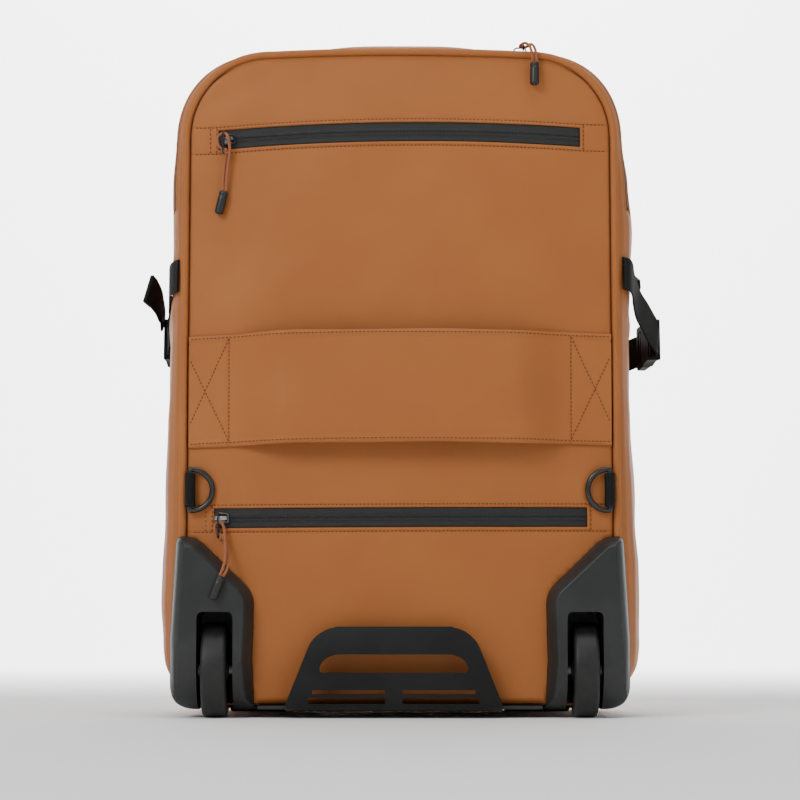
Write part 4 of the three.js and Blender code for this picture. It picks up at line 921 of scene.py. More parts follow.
def panel_grid(x, levels):
    """Points over the seam outline: columns at x, rows at shares between curves of height."""
    inset = PIPING_R * 0.5
    flat_x = x * (BAG_HALF_TOP - inset) / BAG_HALF_TOP
    top_bend = np.clip(np.abs(flat_x) - (BAG_HALF_TOP - TOP_CORNER), 0, TOP_CORNER - inset)
    low_bend = np.clip(np.abs(flat_x) - (BAG_HALF_TOP - BOTTOM_CORNER), 0, BOTTOM_CORNER - inset)
    crown = TOP_CROWN * np.minimum(np.abs(flat_x) / (BAG_HALF_TOP - TOP_CORNER), 1) ** 2
    r = TOP_CORNER - inset
    top = BAG_TOP - inset - crown - r + np.sqrt(r ** 2 - top_bend ** 2)
    r = BOTTOM_CORNER - inset
    bottom = BAG_BOTTOM + inset + r - np.sqrt(r ** 2 - low_bend ** 2)
    curves = np.array([bottom, *[level(flat_x) for level in levels], top])
    curves = np.maximum.accumulate(np.clip(curves, bottom, top), axis=0)
    return flat_x, curves


def rows_between(curves, counts):
    """Rows spread evenly between each two curves."""
    rows = []
    for i, count in enumerate(counts):
        share = np.linspace(0, 1, count, endpoint=False)[:, None]
        rows.append(curves[i] * (1 - share) + curves[i + 1] * share)
    return np.vstack([*rows, curves[-1:]])


def outside_housings(margin):
    """A test that drops cloth which lies inside either wheel housing."""
    outline = rounded_outline(inset_corners(HOUSING_OUTLINE, margin), 8)

    def keep(middle):
        inside = inside_outline(outline, np.abs(middle[:, 0]), middle[:, 2])
        return ~(inside & (middle[:, 1] < HOUSING_FRONT_Y - margin))
    return keep


def make_panel(name, node, material, clusters, levels, counts, face, facing, keep=None):
    """A panel on the seam outline. Face gives its depth and how dark its seams are: dark thread and
    painted shade in their grooves.
    """
    flat_x, curves = panel_grid(panel_columns(*clusters), levels)
    z = rows_between(curves, counts)
    x = np.broadcast_to(flat_x, z.shape) * bag_half(z) / BAG_HALF_TOP
    y, seam = face(x, z)
    piece = grid_piece(name, np.stack([x, y, z], -1), material, uv=np.stack([x, z], -1), seam=seam,
                       facing=(0, facing, 0), keep=keep, slot="tan_cloth", node=node)
    thicken(piece, PANEL_WALL)


def make_back_panel(material):
    """The worn panel: its grid follows the edges of both zip windows."""
    ends = [zip_[end] for zip_ in (UPPER_ZIP, LOWER_ZIP) for end in ("left", "right")]
    levels = [lambda x, z=zip_, d=reach: zip_z(z, np.clip(x, z["left"], z["right"])) + d
              for zip_ in (LOWER_ZIP, UPPER_ZIP)
              for reach in (-ZIP_HALF - 4.6, -ZIP_HALF + 1.4, ZIP_HALF - 1.4, ZIP_HALF + 4.6)]

    def face(x, z):
        relief, seam = back_relief(x, z)
        return back_panel_y(x, z) - relief, seam
    make_panel("worn_panel", "back_panel", material, (ends, 150), levels,
               [26, 14, 6, 14, 62, 14, 6, 14, 16], face, -1, outside_housings(2.5))


def make_front_panel(material):
    """The far side: a plain swelling panel with slow waves."""
    def face(x, z):
        edge = edge_distance(x, z)
        relief = 0.7 * soft_waves(x, z, 11) * step(edge, 4, 40) - 1.1 * bell(edge, 1.6)
        relief += 0.3 * np.sin(z / 5.0) * bell(edge, 7) * step(edge, 1, 4)
        # The second value is the seam mask: dark thread and painted shade in the groove beside the piping
        return front_panel_y(x, z) + relief, bell(edge, 1.15)
    make_panel("far_panel", "front_panel", material, ([], 110), [], [110], face, 1)


def make_gusset(material):
    """The wall round the bag: the seam outline carried in depth and swollen, with puckers and folds."""
    count = 560
    line, normal = seam_loop(count)
    half = MAIN_ZIP_WIDTH / 2
    stops = np.array([[BACK_SEAM_Y + 1.2], [MAIN_ZIP_Y - half - 2], [MAIN_ZIP_Y - half + 1.4],
                      [MAIN_ZIP_Y + half - 1.4], [MAIN_ZIP_Y + half + 2], [FRONT_SEAM_Y - 1.2]])
    depths = rows_between(stops, [9, 9, 4, 9, 45])[:, 0]
    x, z, nx, nz = line[:, :1], line[:, 1:], normal[:, :1], normal[:, 1:]
    y = np.broadcast_to(depths, (count, len(depths)))
    swell = gusset_swell(z, nx, nz, y) + crown_rise(x, y, nz)
    run = np.arange(count)[:, None] * path_length(line) / count
    from_seam = np.minimum(y - BACK_SEAM_Y, FRONT_SEAM_Y - y)
    corner = np.clip(4 * nx ** 2 * nz ** 2, 0, 1)
    relief = 0.9 * soft_waves(run, y, 5) * step(from_seam, 6, 40)
    relief += (0.25 + 0.35 * corner) * np.sin(run / 4.6) * bell(from_seam, 8)
    relief -= 0.8 * bell(from_seam - 1.5, 1.5)
    tape = np.abs(y - MAIN_ZIP_Y) - half
    over = step(z, MAIN_ZIP_END_Z - 1, MAIN_ZIP_END_Z + 1)
    relief += over * (0.6 * hump(tape, 1.1, 2.0) - 3.0 * step(-tape, -0.1, 1.0))
    relief -= over * 0.3 * bell(tape - 3.2, 0.8)
    relief += side_folds(x + nx * swell, y, z, nx)
    out = swell + relief
    points = np.stack([x + nx * out, y, z + nz * out], -1)
    # Seam mask: dark thread and painted shade in the groove by the piping, and painted shade where the
    # cloth sinks under the main zip's tape
    seam = np.maximum(0.8 * bell(from_seam - 1.2, 1.3), over * 0.7 * step(-tape, 0.1, 1.0))
    uv = np.stack(np.broadcast_arrays(np.vstack([run, [[path_length(line)]]]),
                                      np.vstack([y, y[:1]])), -1)
    piece = grid_piece("gusset_cloth", points, material, uv=uv, ring_rows=True, seam=seam,
                       keep=outside_housings(3.5), slot="tan_cloth", node="gusset")
    thicken(piece, PANEL_WALL)


# How far the soft top stands up past the solid, and where it does so in depth and across
CROWN_RISE, CROWN_DEPTHS, CROWN_ACROSS = 6.0, (-64, -30, 20, 110), (30, 118)


def crown_rise(x, y, nz):
    """The slack crown of the top: a broad hump that starts in front of the main zip."""
    start, full, fall, end = CROWN_DEPTHS
    along = step(y, start, full) * (1 - step(y, fall, end))
    return CROWN_RISE * np.clip(nz, 0, 1) ** 2 * along * (1 - step(np.abs(x), *CROWN_ACROSS))


def side_folds(x, y, z, nx):
    """Folds of the sides: pinched under the straps, drawn towards the buckles and slack below."""
    folds = np.zeros(np.broadcast(x, y, z).shape)
    side = np.abs(nx) > 0.9
    for start, end, width, depth in SIDE_CREASES:
        folds += depth * crease(y, z, start, end, width)
    return folds * side


# Creases of both sides: start and end in y and z, width, and depth
SIDE_CREASES = [
    ((-86, 344), (-10, 322), 7, 1.4), ((-86, 308), (0, 268), 7, 1.2), ((60, 300), (94, 300), 7, 0.9),
    ((-60, 400), (40, 372), 14, -1.4), ((-70, 240), (50, 214), 16, -1.2), ((-20, 190), (80, 150), 14, 1.1),
    ((-40, 430), (60, 455), 12, 1.0), ((10, 120), (84, 90), 12, -1.2), ((-30, 60), (60, 40), 10, -0.9),
]


def make_piping(material):
    """Piping: a cord in a bias strip, sewn in the seam, with the faint slant of its cloth."""
    count, angle = 900, turns(20)
    line, normal = seam_loop(count)
    run = np.arange(count)[:, None] * path_length(line) / count
    radius = PIPING_R * (1 + 0.012 * np.sin(run / 3.1 + 2 * angle) + 0.01 * np.sin(run / 23.0))
    out, back = radius * np.cos(angle), radius * np.sin(angle)
    # Dark thread and painted shade on the piping's inner side, where it meets the panels
    seam = 0.25 * (np.cos(angle - math.pi) > 0.8) * np.ones((count, 1))

    def above_housings(middle):
        return middle[:, 2] > PIPING_LOW_END
    for name, y, node, keep in (("piping_worn", BACK_SEAM_Y, "piping_back", above_housings),
                                ("piping_far", FRONT_SEAM_Y, "piping_front", None)):
        points = np.stack([line[:, :1] + normal[:, :1] * out, y + back,
                           line[:, 1:] + normal[:, 1:] * out], -1)
        torus(name, points, material, keep=keep, seam=seam, slot="tan_cloth", node=node)


# Stitches

STITCH_PITCH, STITCH_LONG, STITCH_THICK, STITCH_LIFT, STITCH_FLATNESS = 2.9, 1.7, 0.86, 0.12, 0.8


def stitch_rows(name, rows, surface_y, material):
    """Stitches along lines in x and z: each one a small flat capsule laid on the surface."""
    centres, alongs = [], []
    for row in rows:
        row = np.asarray(row, float)
        fine = even_steps(row, max(int(path_length(row) / STITCH_PITCH), 2) * 2 + 1)
        centres.append(fine[1::2])
        alongs.append(unit(fine[2::2] - fine[:-2:2]))
    centres, alongs = np.vstack(centres), np.vstack(alongs)
    long = STITCH_LONG * np.array([-0.5, -0.32, 0.32, 0.5])[:, None, None]
    width = STITCH_THICK / 2 * np.array([0.35, 1, 1, 0.35])[:, None]
    xz = centres[:, None, None] + alongs[:, None, None] * long
    across = np.stack([-alongs[:, 1], alongs[:, 0]], -1)[:, None, None]
    xz = xz + across * (width * np.cos(turns(6)))[..., None]
    y = surface_y(xz[..., 0], xz[..., 1]) - STITCH_LIFT - width * np.sin(turns(6)) * STITCH_FLATNESS
    points = np.stack([xz[..., 0], y, xz[..., 1]], -1).reshape(-1, 3)
    corners, _, _ = grid_corners(4, 6, ring_columns=True)
    fan = np.array([[0, 1, 2, 3], [0, 3, 4, 5]])
    one = np.vstack([corners, fan[:, ::-1], fan + 18])
    every = (one + 24 * np.arange(len(centres))[:, None, None]).reshape(-1, 4)
    return piece_from(name, points, every, material, slot="tan_cloth")


def panel_surface(x, z):
    relief, _ = back_relief(x, z)
    return back_panel_y(x, z) - relief


def make_panel_stitches(material):
    """Rows above and below both zips from piping to piping, and short rows across their ends."""
    rows = []
    for zip_ in (UPPER_ZIP, LOWER_ZIP):
        for offset in (ZIP_HALF + STITCH_ABOVE, -ZIP_HALF - STITCH_BELOW):
            x = np.linspace(-STITCH_REACH, STITCH_REACH, 240)
            z = zip_z(zip_, np.clip(x, zip_["left"], zip_["right"])) + offset
            rows.append(np.stack([x, z], -1))
        for x in (zip_["left"] - 6, zip_["left"] - 1.2, zip_["right"] + 2.5):
            z = zip_z(zip_, np.clip(x, zip_["left"], zip_["right"]))
            rows.append([[x, z - ZIP_HALF - STITCH_BELOW], [x, z + ZIP_HALF + STITCH_ABOVE]])
    stitch_rows("panel_stitches", rows, panel_surface, material)


# Luggage sleeve

SLEEVE_HEIGHT, SLEEVE_MIDDLE_Z, SLEEVE_SEAM_X = 83.4, 244.0, 127.0
SLEEVE_STAND_OFF, SLEEVE_THICK, SLEEVE_FLAT = 15.5, 2.4, 82.0


def sleeve_off(x):
    share = np.clip((SLEEVE_SEAM_X - np.abs(x)) / (SLEEVE_SEAM_X - SLEEVE_FLAT), 0, 1)
    return SLEEVE_STAND_OFF * eased(share)


def sleeve_middle(x):
    half = bag_half(SLEEVE_MIDDLE_Z)
    return SLEEVE_MIDDLE_Z - np.where(x < 0, 3.4, 1.2) * (x / half) ** 2


def sleeve_surface(x, z):
    """The sleeve's outer face: off the panel between its seams, hemmed, with pulls at its corners."""
    v = (z - sleeve_middle(x)) / (SLEEVE_HEIGHT / 2)
    out = GAP + sleeve_off(x) + SLEEVE_THICK
    out = out + 0.35 * bell(np.abs(v) - 0.93, 0.05) - 0.45 * bell(np.abs(v) - 0.87, 0.02)
    out = out - 0.55 * bell(np.abs(x) - SLEEVE_SEAM_X, 1.2)
    out = out + 0.5 * soft_waves(x * 1.3, z, 8) * step(np.abs(x), 150, 110)
    out = out + 0.8 * np.sin(v * 4.4) * bell(np.abs(x) - 100, 26) * np.sign(x)
    return back_panel_y(x, z) - out


def make_sleeve(material, thread_material):
    """A wide band sewn down at both ends: two faces of a grid, closed round its edges."""
    half = bag_half(SLEEVE_MIDDLE_Z) - PIPING_R - 0.9
    x = np.linspace(-half, half, 260)
    v = np.concatenate([[-1, -0.985, -0.95], np.linspace(-0.92, 0.92, 54), [0.95, 0.985, 1]])
    round_off = np.array([0.9, 0.35, 0.05, *np.zeros(54), 0.05, 0.35, 0.9])
    grid_x = np.broadcast_to(x, (len(v), len(x)))
    z = sleeve_middle(grid_x) + v[:, None] * SLEEVE_HEIGHT / 2
    z = z + 0.35 * np.sin(grid_x / 17.0) * np.abs(v[:, None]) * step(np.abs(grid_x), 150, 120)
    outer = sleeve_surface(grid_x, z) + round_off[:, None]
    inner = back_panel_y(grid_x, z) - GAP - sleeve_off(grid_x) - round_off[:, None] * 0.6
    points = np.concatenate([np.stack([grid_x, outer, z], -1), np.stack([grid_x, inner, z], -1)[::-1]])
    flat = np.stack([grid_x, z], -1)
    uv = np.concatenate([flat, flat[::-1], flat[:1]])
    seam = np.zeros(points.shape[:2])
    # Painted shade in the groove along the sleeve's sewn-down seams
    seam[:len(v)] = 0.22 * bell(np.abs(grid_x) - SLEEVE_SEAM_X, 1.0)
    tube("sleeve_band", points.swapaxes(0, 1), material, uv=uv.swapaxes(0, 1), seam=seam.T,
         slot="tan_cloth", node="luggage_sleeve")
    edge, x = SLEEVE_HEIGHT / 2, np.linspace(-half + 1, half - 1, 220)
    rows = [np.stack([x, sleeve_middle(x) + offset], -1) for offset in (edge - 2.2, -edge + 3.0)]
    for side in (-1, 1):
        seam_x, out_x = side * SLEEVE_SEAM_X, side * (half - 1.2)
        mid, far = float(sleeve_middle(seam_x)), float(sleeve_middle(out_x))
        rows += [[[seam_x, mid - edge + 3], [seam_x, mid + edge - 2.2]],
                 [[seam_x, mid + edge - 3], [out_x, far - edge + 18]],
                 [[out_x, far + edge - 18], [seam_x, mid - edge + 4]]]
    stitch_rows("sleeve_stitches", rows, sleeve_surface, thread_material)


# Zips

TAPE_SUNK, TAPE_WALL = 0.8, 0.9


def both_sides(places):
    """Places on both sides of a middle, and the middle."""
    return np.concatenate([-np.array(places)[::-1], [0], places])


def make_panel_tape(name, zip_, material):
    """The zip's tape: a strip with two low ridges over the coil, beside the middle line."""
    x = np.linspace(zip_["left"] + 0.4, zip_["right"] - 0.4, 180)
    dz = both_sides([0.25, 0.6, 1.2, 2.1, 2.5, 3, 4.5, 6, 7.1])
    z = zip_z(zip_, x)[:, None] + dz
    grid_x = np.broadcast_to(x[:, None], z.shape)
    y = back_panel_y(grid_x, z) + TAPE_SUNK - 0.62 * step(np.abs(dz), 2.8, 2.0) + 0.4 * bell(dz, 0.3)
    uv = np.stack([grid_x, np.broadcast_to(dz, z.shape)], -1)
    piece = grid_piece(f"{name}_zip", np.stack([grid_x, y, z], -1), material, uv=uv, facing=(0, -1, 0),
                       slot="zip_tape", node=f"zip_{name}_tape")
    thicken(piece, TAPE_WALL)


def make_main_tape(material):
    """The main zip's tape, over the top of the gusset and down both sides."""
    line, normal = seam_loop(1400)
    over = (line[:, 1] > MAIN_ZIP_END_Z + 1) & (normal[:, 1] > -0.5)
    line, normal = line[over], normal[over]
    dy = both_sides([0.5, 1.2, 2.1, 2.5, 3, 4.4, 5.7])
    y = MAIN_ZIP_Y + dy[None, :]
    swell = gusset_swell(line[:, 1:], normal[:, :1], normal[:, 1:], y)
    out = swell - TAPE_SUNK + 0.6 * step(np.abs(dy), 2.8, 2.0) - 0.4 * bell(dy, 0.3)
    points = np.stack([line[:, :1] + normal[:, :1] * out, np.broadcast_to(y, out.shape),
                       line[:, 1:] + normal[:, 1:] * out], -1)
    run = np.arange(len(line)) * path_length(line) / len(line)
    uv = np.stack(np.broadcast_arrays(run[:, None], dy[None, :]), -1)
    piece = grid_piece("main_zip", points, material, uv=uv, slot="zip_tape", facing=(0, 0, 1),
                       node="zip_main_tape")
    thicken(piece, TAPE_WALL)


SLIDER_LONG, SLIDER_WIDE, SLIDER_BASE, BEAM, BEAM_WIDE = 11.0, 9.0, 2.0, 1.2, 2.8
LINK_LONG, LINK_WIRE, LINK_HOLE = 19.0, 1.2, 3.0
# Each slider's place along its zip, the link's place along it, and how far the link reaches past it
SLIDER_PLACES = {"upper": (-128.6, -131.3, 6.4), "lower": (-132.0, -133.5, 3.8), "main": (91.0, 93.2, 3.8)}


def slider_frame(name):
    """Place and axes of a slider: along the zip, across it, and out of it."""
    x = SLIDER_PLACES[name][0]
    if name == "main":
        half = MAIN_ZIP_WIDTH / 2
        crown = TOP_CROWN * (x / (BAG_HALF_TOP - TOP_CORNER)) ** 2
        ends = gusset_swell(BAG_TOP, 0, 1, MAIN_ZIP_Y + np.array([-half, half]))
        z = BAG_TOP - crown - TAPE_SUNK + sum(ends) / 2
        along, across = np.array([1.0, 0, 0]), unit(np.array([0, 2 * half, ends[1] - ends[0]]))
        return np.array([x, MAIN_ZIP_Y, z]), along, across, np.cross(along, across)
    z = zip_z(UPPER_ZIP if name == "upper" else LOWER_ZIP, x)
    slope = (back_panel_y(x + 1, z) - back_panel_y(x - 1, z)) / 2
    along, across = unit(np.array([1.0, slope, 0])), np.array([0.0, 0, 1.0])
    return np.array([x, back_panel_y(x, z) + 0.2, z]), along, across, np.cross(along, across)


def make_slider(name, metal, wire):
    """A shield-shaped slider with a bridge along it, and the long wire link under the bridge."""
    at, along, across, out = slider_frame(name)
    low, l, w = 2 * GAP, SLIDER_LONG / 2, SLIDER_WIDE / 2
    corners = [(-l, -w * 0.62, 2.5), (-l * 0.25, -w, 3), (l, -w * 0.72, 1.2)]
    shield = rounded_outline(corners + [(x, -y, r) for x, y, r in corners[::-1]], 6)
    centre = shield.mean(axis=0)
    reach = np.linalg.norm(shield - centre, axis=1, keepdims=True)
    high, rings = low + SLIDER_BASE, []
    for height, inset in ((low, 0.5), (low + 0.15, 0.12), (low + 0.5, 0), (high - 0.6, 0),
                          (high - 0.15, 0.2), (high, 0.7)):
        flat = centre + (shield - centre) * (1 - inset / reach)
        rings.append(at + flat[:, :1] * along + flat[:, 1:] * across + height * out)
    tube(f"slider_{name}", rings, metal, slot="slider", node=f"zip_{name}_slider")
    end, top = l - 1.0, high + LINK_WIRE + 2 * GAP + BEAM / 2
    rise = [(-end, low + 1.2), (-end, top - 1.6), (-end + 1.3, top - 0.2)]
    bridge = smooth_path([*rise, (0, top), *[(-x, y) for x, y in rise[::-1]]], 40)
    line = at + bridge[:, :1] * along + bridge[:, 1:] * out
    tube(f"slider_bridge_{name}", sweep(line, rounded_bar(BEAM, BEAM_WIDE, 0.35), across), metal,
         slot="slider")
    place, link_place, past = SLIDER_PLACES[name]
    r = LINK_HOLE / 2 + LINK_WIRE / 2
    straight = LINK_LONG / 2 - LINK_WIRE / 2 - r
    a = np.linspace(-math.pi / 2, math.pi / 2, 16)
    head = np.stack([straight + r * np.cos(a), r * np.sin(a)], -1)
    loop = even_steps(np.vstack([head, -head, head[:1]]), 97)[:-1]
    loop += (past - LINK_LONG / 2, high + GAP + LINK_HOLE / 2 + LINK_WIRE)
    line = at + (link_place - place) * along + loop[:, :1] * across + loop[:, 1:] * out
    torus(f"link_{name}", sweep(line, circle(LINK_WIRE * 0.52, 12), along, closed=True), wire,
          slot="black_wire", node=f"zip_{name}_link")


# Wheels, housings, handle and base

def underside_y(z):
    """The quarter circle that rolls the housing's back face under it."""
    down = np.clip(HOUSING_LOW + HOUSING_UNDER_R - z, 0, HOUSING_UNDER_R)
    return HOUSING_BACK_Y + HOUSING_UNDER_R - np.sqrt(HOUSING_UNDER_R ** 2 - down ** 2)


def make_housing(name, side, material):
    """Outlines drawn in from the sides to a flat back face, with the wheel's slot cut through."""
    chamfer = np.array([[0, 0], [0.02, 0.03], [0.3, 0.14], [0.5, 0.3], [0.7, 0.5], [0.9, 0.83],
                        [0.96, 0.93], [0.99, 0.99], [1, 1.05]])
    levels = [(HOUSING_FRONT_Y, 0.0), (-60, 0.0), (-80, 0.0)]
    levels += [(HOUSING_CHAMFER_Y + (HOUSING_BACK_Y - HOUSING_CHAMFER_Y) * back, HOUSING_BORDER * inset)
               for back, inset in chamfer]
    rings = [upright(rounded_outline(inset_corners(HOUSING_OUTLINE, inset), 12) * (side, 1), y)
             for y, inset in levels]
    face = rings[-1].mean(axis=0)
    rings += [face + (rings[-1] - face) * share for share in np.linspace(0.97, 0.03, 34)]
    rings = np.array(rings)
    rings[..., 1] = np.maximum(rings[..., 1], underside_y(rings[..., 2]))
    piece = tube(f"housing_{name}", rings, material, slot="moulded", sharp=28)
    x = side * SLOT_X
    slot = rounded_box(x - SLOT_WIDTH / 2, x + SLOT_WIDTH / 2, -12, SLOT_TOP, 1, SLOT_CORNER, 8)
    carve(piece, 28, (slot, HOUSING_BACK_Y - 12, SLOT_FRONT_Y))
    ease_edges(piece, 0.7, 2, 40)
    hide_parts(f"wheel_housing_{name}")


def turned(name, profile, side, material, segments, **more):
    """A closed profile of radius and place along the axle, turned about the axle."""
    r, along = np.array(profile, float).T[:, :, None]
    angle = turns(segments)
    points = np.stack(np.broadcast_arrays(
        side * WHEEL_X + along, WHEEL_Y + r * np.cos(angle), WHEEL_R + r * np.sin(angle)), -1)
    torus(name, points, material, sharp=35, **more)


def make_wheel(name, side, tread, hub_material):
    """A tyre with round shoulders and a faint crown, and the hub inside it."""
    w = WHEEL_WIDTH / 2
    a = np.linspace(0, math.pi / 2, 9)
    shoulder = np.stack([WHEEL_R - 3.4 + 3.2 * np.sin(a), -w + 3.2 * (1 - np.cos(a))], -1)
    crown = np.linspace(-w + 3.2, w - 3.2, 9)[1:-1]
    middle = np.stack([WHEEL_R - 0.2 * (crown / (w - 3.2)) ** 2, crown], -1)
    inner = TYRE_INNER_R
    profile = np.vstack([[[inner, -w + 0.3], [inner + 0.4, -w]], shoulder, middle,
                         shoulder[::-1] * (1, -1), [[inner + 0.4, w], [inner, w - 0.3]]])
    turned(f"tyre_{name}", profile, side, tread, 96, body=f"wheel_{name}", slot="tyre",
           node=f"wheel_tyre_{name}")
    rim, bore, boss = TYRE_INNER_R - GAP, AXLE_R + GAP, AXLE_R + 4
    half = [[bore, -w - 1], [boss - 0.5, -w - 1], [boss, -w - 0.5], [boss + 0.4, -w * 0.5],
            [boss + 1.6, -w * 0.35], [rim - 6, -w * 0.35], [rim - 4, -w * 0.45], [rim - 3, -w + 1.0],
            [rim - 2.6, -w + 0.6], [rim, -w + 0.6]]
    turned(f"hub_{name}", half + [[r, -x] for r, x in half[::-1]], side, hub_material, 64,
           body=f"wheel_{name}", slot="hub", node=f"wheel_hub_{name}")


HANDLE_X, HANDLE_TOP, HANDLE_TOP_HALF, HANDLE_FOOT_HALF, HANDLE_THICK = -4.5, 66.5, 57.0, 80.0, 4.0
HANDLE_FOOT_Z, HANDLE_CORNER, HANDLE_WEB_HALF = 9.2, 15.0, 6.3
GRIP_HALF, GRIP_BOTTOM, GRIP_HEIGHT, GRIP_END_ROUND, GRIP_LOW_CORNER = 54.5, 33.5, 13.4, 15.0, 2.0
HANDLE_SLOTS = [(17.9, 2.8, 59.8), (10.7, 4.4, 62.8)]  # low edge, height, far end from the middle
CUT_START_Y, GRIP_CUT_Y, SLOT_CUT_Y = -130.0, -100.0, -104.0
HANDLE_PROFILE = [
    # y, z, from the base plate's edge up to the top edge
    (-96.6, 7.2), (-101, 7.3), (-106.5, 9), (-111, 14.5), (-113, 24), (-114, 46), (-112.5, 67),
]


def make_bottom_handle(material):
    """A bar as wide as a trapezium at each height, carried along the profile, with its holes cut."""
    y, z = smooth_path(HANDLE_PROFILE, 120).T
    slope = (HANDLE_FOOT_HALF - HANDLE_TOP_HALF) / (HANDLE_TOP - HANDLE_FOOT_Z)
    fall = np.clip(z - (HANDLE_TOP - HANDLE_CORNER), 0, HANDLE_CORNER - 0.05)
    half = np.minimum(HANDLE_FOOT_HALF, HANDLE_FOOT_HALF - (z - HANDLE_FOOT_Z) * slope)
    half = half - (HANDLE_CORNER - np.sqrt(HANDLE_CORNER ** 2 - fall ** 2))
    line = np.stack([np.full(len(z), HANDLE_X), y, z], -1)
    section = rounded_bar(2.0, HANDLE_THICK, 0.95, 5)
    wide = np.sign(section[:, 0]) * (half[:, None] - (1.0 - np.abs(section[:, 0])))
    right = np.array([1.0, 0, 0])
    normal = np.cross(right, unit(np.gradient(line, axis=0)))
    rings = line[:, None] + wide[..., None] * right + section[:, 1:] * normal[:, None]
    piece = tube("bottom_grip", rings, material, slot="moulded", sharp=40)
    a = np.linspace(0, math.pi / 2, 20)
    end = np.stack([GRIP_HALF - GRIP_END_ROUND * (1 - np.cos(a)),
                    GRIP_LOW_CORNER + (GRIP_HEIGHT - GRIP_LOW_CORNER) * np.sin(a)], -1)
    half = np.vstack([[[GRIP_HALF - GRIP_LOW_CORNER, 0], [GRIP_HALF - 0.6, 0.5]], end])
    grip = np.vstack([half, half[::-1] * (-1, 1)]) + (HANDLE_X, GRIP_BOTTOM)
    holes = [(grip, CUT_START_Y, GRIP_CUT_Y)]
    for low, height, far in HANDLE_SLOTS:
        for side in (-1, 1):
            ends = sorted([HANDLE_X + side * HANDLE_WEB_HALF, HANDLE_X + side * far])
            slot = rounded_box(*ends, low, low + height, 0.8, 0.8, 4)
            holes.append((slot, CUT_START_Y, SLOT_CUT_Y))
    carve(piece, 40, *holes)
    ease_edges(piece, 0.6, 3, 50)
    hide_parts("bottom_handle")


# D-rings and webbing

def make_d_ring(name, side, wire, weave):
    """A bar closed by a half circle, of round wire, in its folded loop of webbing."""
    bar_x, ring_z, half_height, wire_r = 155.5, 168.0, 15.2, 2.0
    ring_y = float(back_panel_y(bar_x - 1 - half_height, ring_z)) - wire_r - 2 * GAP
    a = np.linspace(-math.pi / 2, math.pi / 2, 48)
    arc = np.stack([1.2 + half_height * np.cos(a), half_height * np.sin(a)], -1)
    low = np.array([[0.0, -half_height + 0.6], [0.5, -half_height + 0.1]])
    loop = even_steps(np.vstack([low, arc, low[::-1] * (1, -1), low[:1]]), 161)[:-1]
    line = upright((bar_x, ring_z) + loop * (-1, 1), ring_y) * (side, 1, 1)
    torus(f"ring_{name}", sweep(line, circle(wire_r, 16), (0, 1, 0), closed=True), wire,
          body=f"d_ring_{name}", slot="black_wire", node=f"d_ring_{name}")
    middle = wire_r + GAP + WEBBING / 2
    tail = BACK_SEAM_Y - 1.2 - ring_y
    a = np.linspace(math.pi * 0.86, 2.14 * math.pi, 26)
    bend = np.stack([middle * np.cos(a) * side, middle * np.sin(a)], -1)
    fold = np.vstack([[[-1.15 * side, tail], [-1.2 * side, tail * 0.6]], bend,
                      [[1.2 * side, tail * 0.6], [1.15 * side, tail]]])
    fold = even_steps(fold, 60)
    line = np.stack([side * bar_x + fold[:, 0], ring_y + fold[:, 1], np.full(60, ring_z)], -1)
    section = rounded_bar(WEBBING, WEBBING_WIDTH, 0.5)
    tube(f"ring_loop_{name}", sweep(line, section, (0, 0, 1)), weave, uv=band_uv(line, section),
         slot="webbing", node=f"d_ring_loop_{name}")


def band_uv(line, section):
    """Parameters of a band: the run along it, and the place across it."""
    across = np.append(section[:, 1], section[0, 1])
    return np.stack(np.broadcast_arrays(runs(line)[:, None], across), -1)


def webbing_band(name, rows, node, weave, hem=0.0):
    """Flat webbing through rows of centre points, its width turning from row to row."""
    steps = 70
    centres = smooth_path([at for at, _ in rows], steps)
    across = np.array([w for _, w in rows], float)
    share = np.linspace(0, len(rows) - 1, steps)
    wide = np.stack([np.interp(share, np.arange(len(rows)), column) for column in across.T], -1)
    along = unit(np.gradient(centres, axis=0))
    normal = unit(np.cross(along, wide))
    section = rounded_bar(WEBBING, WEBBING_WIDTH, 0.5)
    thick = 1 + hem * step(np.arange(steps), steps - 16, steps - 14)
    ripple = 0.12 * np.sin(np.linspace(0, 21, steps))
    off = thick[:, None] * section[:, 0] + ripple[:, None]
    rings = centres[:, None] + off[..., None] * normal[:, None] \
        + section[:, 1:] * np.cross(normal, along)[:, None]
    tube(name, rings, weave, uv=band_uv(centres, section), slot="webbing", node=node)


STRAP_Z, SOCKET_LONG, PLUG_LONG, BUCKLE_THICK = 329.0, 30.0, 26.0, 8.4
STRAP_ACROSS, TAIL_HEM = [0, 0.12, 1], 0.9
# Straps: depth, height from STRAP_Z, distance off the gusset's face, and a tail's width direction
STRAPS = {
    "left": dict(
        rear=[(-87.4, 0, 1.2), (-81, -0.5, 1.6), (-72, -1.5, 1.5), (-58, -5, 1.6), (-35, -14, 1.6),
              (-15, -28, 1.6)],
        front=[(76, -46, 1.2), (84, -47, 1), (93, -47, 0.8)],
        tail=[(7, -29, 9.9, [0, 1, 0]), (3, -19, 10.8, [0.08, 0.75, 0.6]),
              (-9, -8.5, 14.4, [0.13, 0.48, 0.86]), (-20, -1.5, 20.2, [0.15, 0.34, 0.93])],
        buckle=(16, -40, 1.1, [0.03, 1, -0.1])),
    "right": dict(
        rear=[(-87.4, 2, 1.8), (-81, 1.5, 2.4), (-72, -1, 2.1), (-60, -8, 2.6), (-48, -18, 6.5),
              (-36, -28, 13.5)],
        front=[(64, -48, 7), (78, -49, 2), (86, -50, 1), (93, -50, 0.8)],
        tail=[(-1, -22.7, 17.4, [0, 1, 0]), (-2, -15, 12.8, [0, 1, 0]),
              (-7, -4, 8.0, [-0.05, 1, 0.1]), (-11, 8, 5.3, [-0.1, 1, 0.1])],
        buckle=(-2, -41.5, 16.9, [-0.12, 1, -0.06])),
}


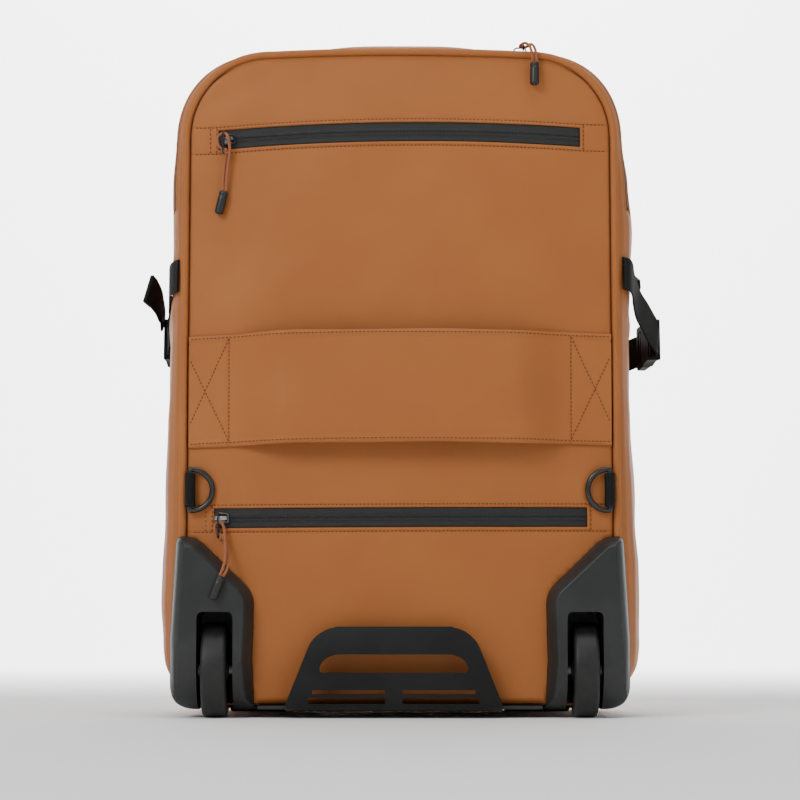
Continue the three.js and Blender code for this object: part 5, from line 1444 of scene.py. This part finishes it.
def make_side_straps(name, side, weave):
    """The strap's rear part, front part and loose tail, laid off the gusset's face."""
    strap = STRAPS[name]

    def off_side(y, dz, off):
        return [float(side_x(side, y, STRAP_Z + dz)) + side * off, y, STRAP_Z + dz]

    def on_gusset(rows):
        return [(off_side(y, dz, off + GAP + WEBBING / 2), *(across or [STRAP_ACROSS]))
                for y, dz, off, *across in rows]
    y, dz, off, along = strap["buckle"]
    socket = np.array(off_side(y, dz, off + BUCKLE_THICK / 2))
    along = unit(np.array(along, float))
    rear = [(socket + along * (shift - SOCKET_LONG / 2 + GAP), STRAP_ACROSS) for shift in (-6, -1)]
    reach = SOCKET_LONG / 2 + PLUG_LONG
    front = [(socket + along * (reach + shift), STRAP_ACROSS) for shift in (1, 9)]
    for part, rows, hem in (("rear", on_gusset(strap["rear"]) + rear, 0),
                            ("front", front + on_gusset(strap["front"]), 0),
                            ("tail", on_gusset(strap["tail"]), TAIL_HEM)):
        webbing_band(f"strap_{part}_{name}", rows, f"side_strap_{part}_{name}", weave, hem)


def dress_node(name, material, width=0.6):
    """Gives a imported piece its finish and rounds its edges."""
    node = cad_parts[name]
    node.data.materials.clear()
    node.data.materials.append(material)
    add_modifier(node, "WELD", merge_threshold=1e-5)
    ease_edges(node, width, 2, 35)


def build():
    tan, weave = tan_cloth(), webbing_weave()
    sewing = sewing_thread()
    plastic = moulded("moulded_black", (0.0145, 0.0162, 0.0156), (0.026, 0.0282, 0.0272), 0.38)
    handle_plastic = moulded("handle_black", (0.006, 0.0068, 0.0065), (0.012, 0.013, 0.0125), 0.52,
                             0.8, 0.12, 0.25)
    hub_plastic = moulded("hub_plastic", (0.010, 0.011, 0.010), (0.02, 0.021, 0.02), 0.42)
    buckle_plastic = moulded("buckle_plastic", (0.004, 0.0044, 0.0042), (0.007, 0.0075, 0.007), 0.55,
                             0.7, 0.04, 0.1)
    wire, tread, coil = black_wire(), tread_rubber(), zip_coil()
    dark_metal = cast_metal("dark_plating", (0.16, 0.16, 0.165), 0.28)
    bright_metal = cast_metal("bright_plating", (0.5, 0.5, 0.5), 0.25)
    steel = cast_metal("axle_steel", (0.42, 0.42, 0.42), 0.35)
    make_back_panel(tan)
    make_front_panel(tan)
    make_gusset(tan)
    make_piping(tan)
    make_panel_stitches(sewing)
    make_sleeve(tan, sewing)
    for name, zip_ in (("upper", UPPER_ZIP), ("lower", LOWER_ZIP)):
        make_panel_tape(name, zip_, coil)
    make_main_tape(coil)
    for name, metal in (("upper", dark_metal), ("lower", bright_metal), ("main", dark_metal)):
        make_slider(name, metal, wire)
    for name, side in (("left", -1), ("right", 1)):
        make_housing(name, side, plastic)
        make_wheel(name, side, tread, hub_plastic)
        make_d_ring(name, side, wire, weave)
        make_side_straps(name, side, weave)
        dress_node(f"wheel_axle_{name}", steel, 0.4)
        dress_node(f"front_foot_{name}", plastic, 1.2)
        dress_node(f"buckle_socket_{name}", buckle_plastic, 0.9)
        dress_node(f"buckle_plug_{name}", buckle_plastic, 0.7)
    make_bottom_handle(handle_plastic)
    dress_node("base_plate", plastic, 0.5)


place_stage()
light_stage()
build()
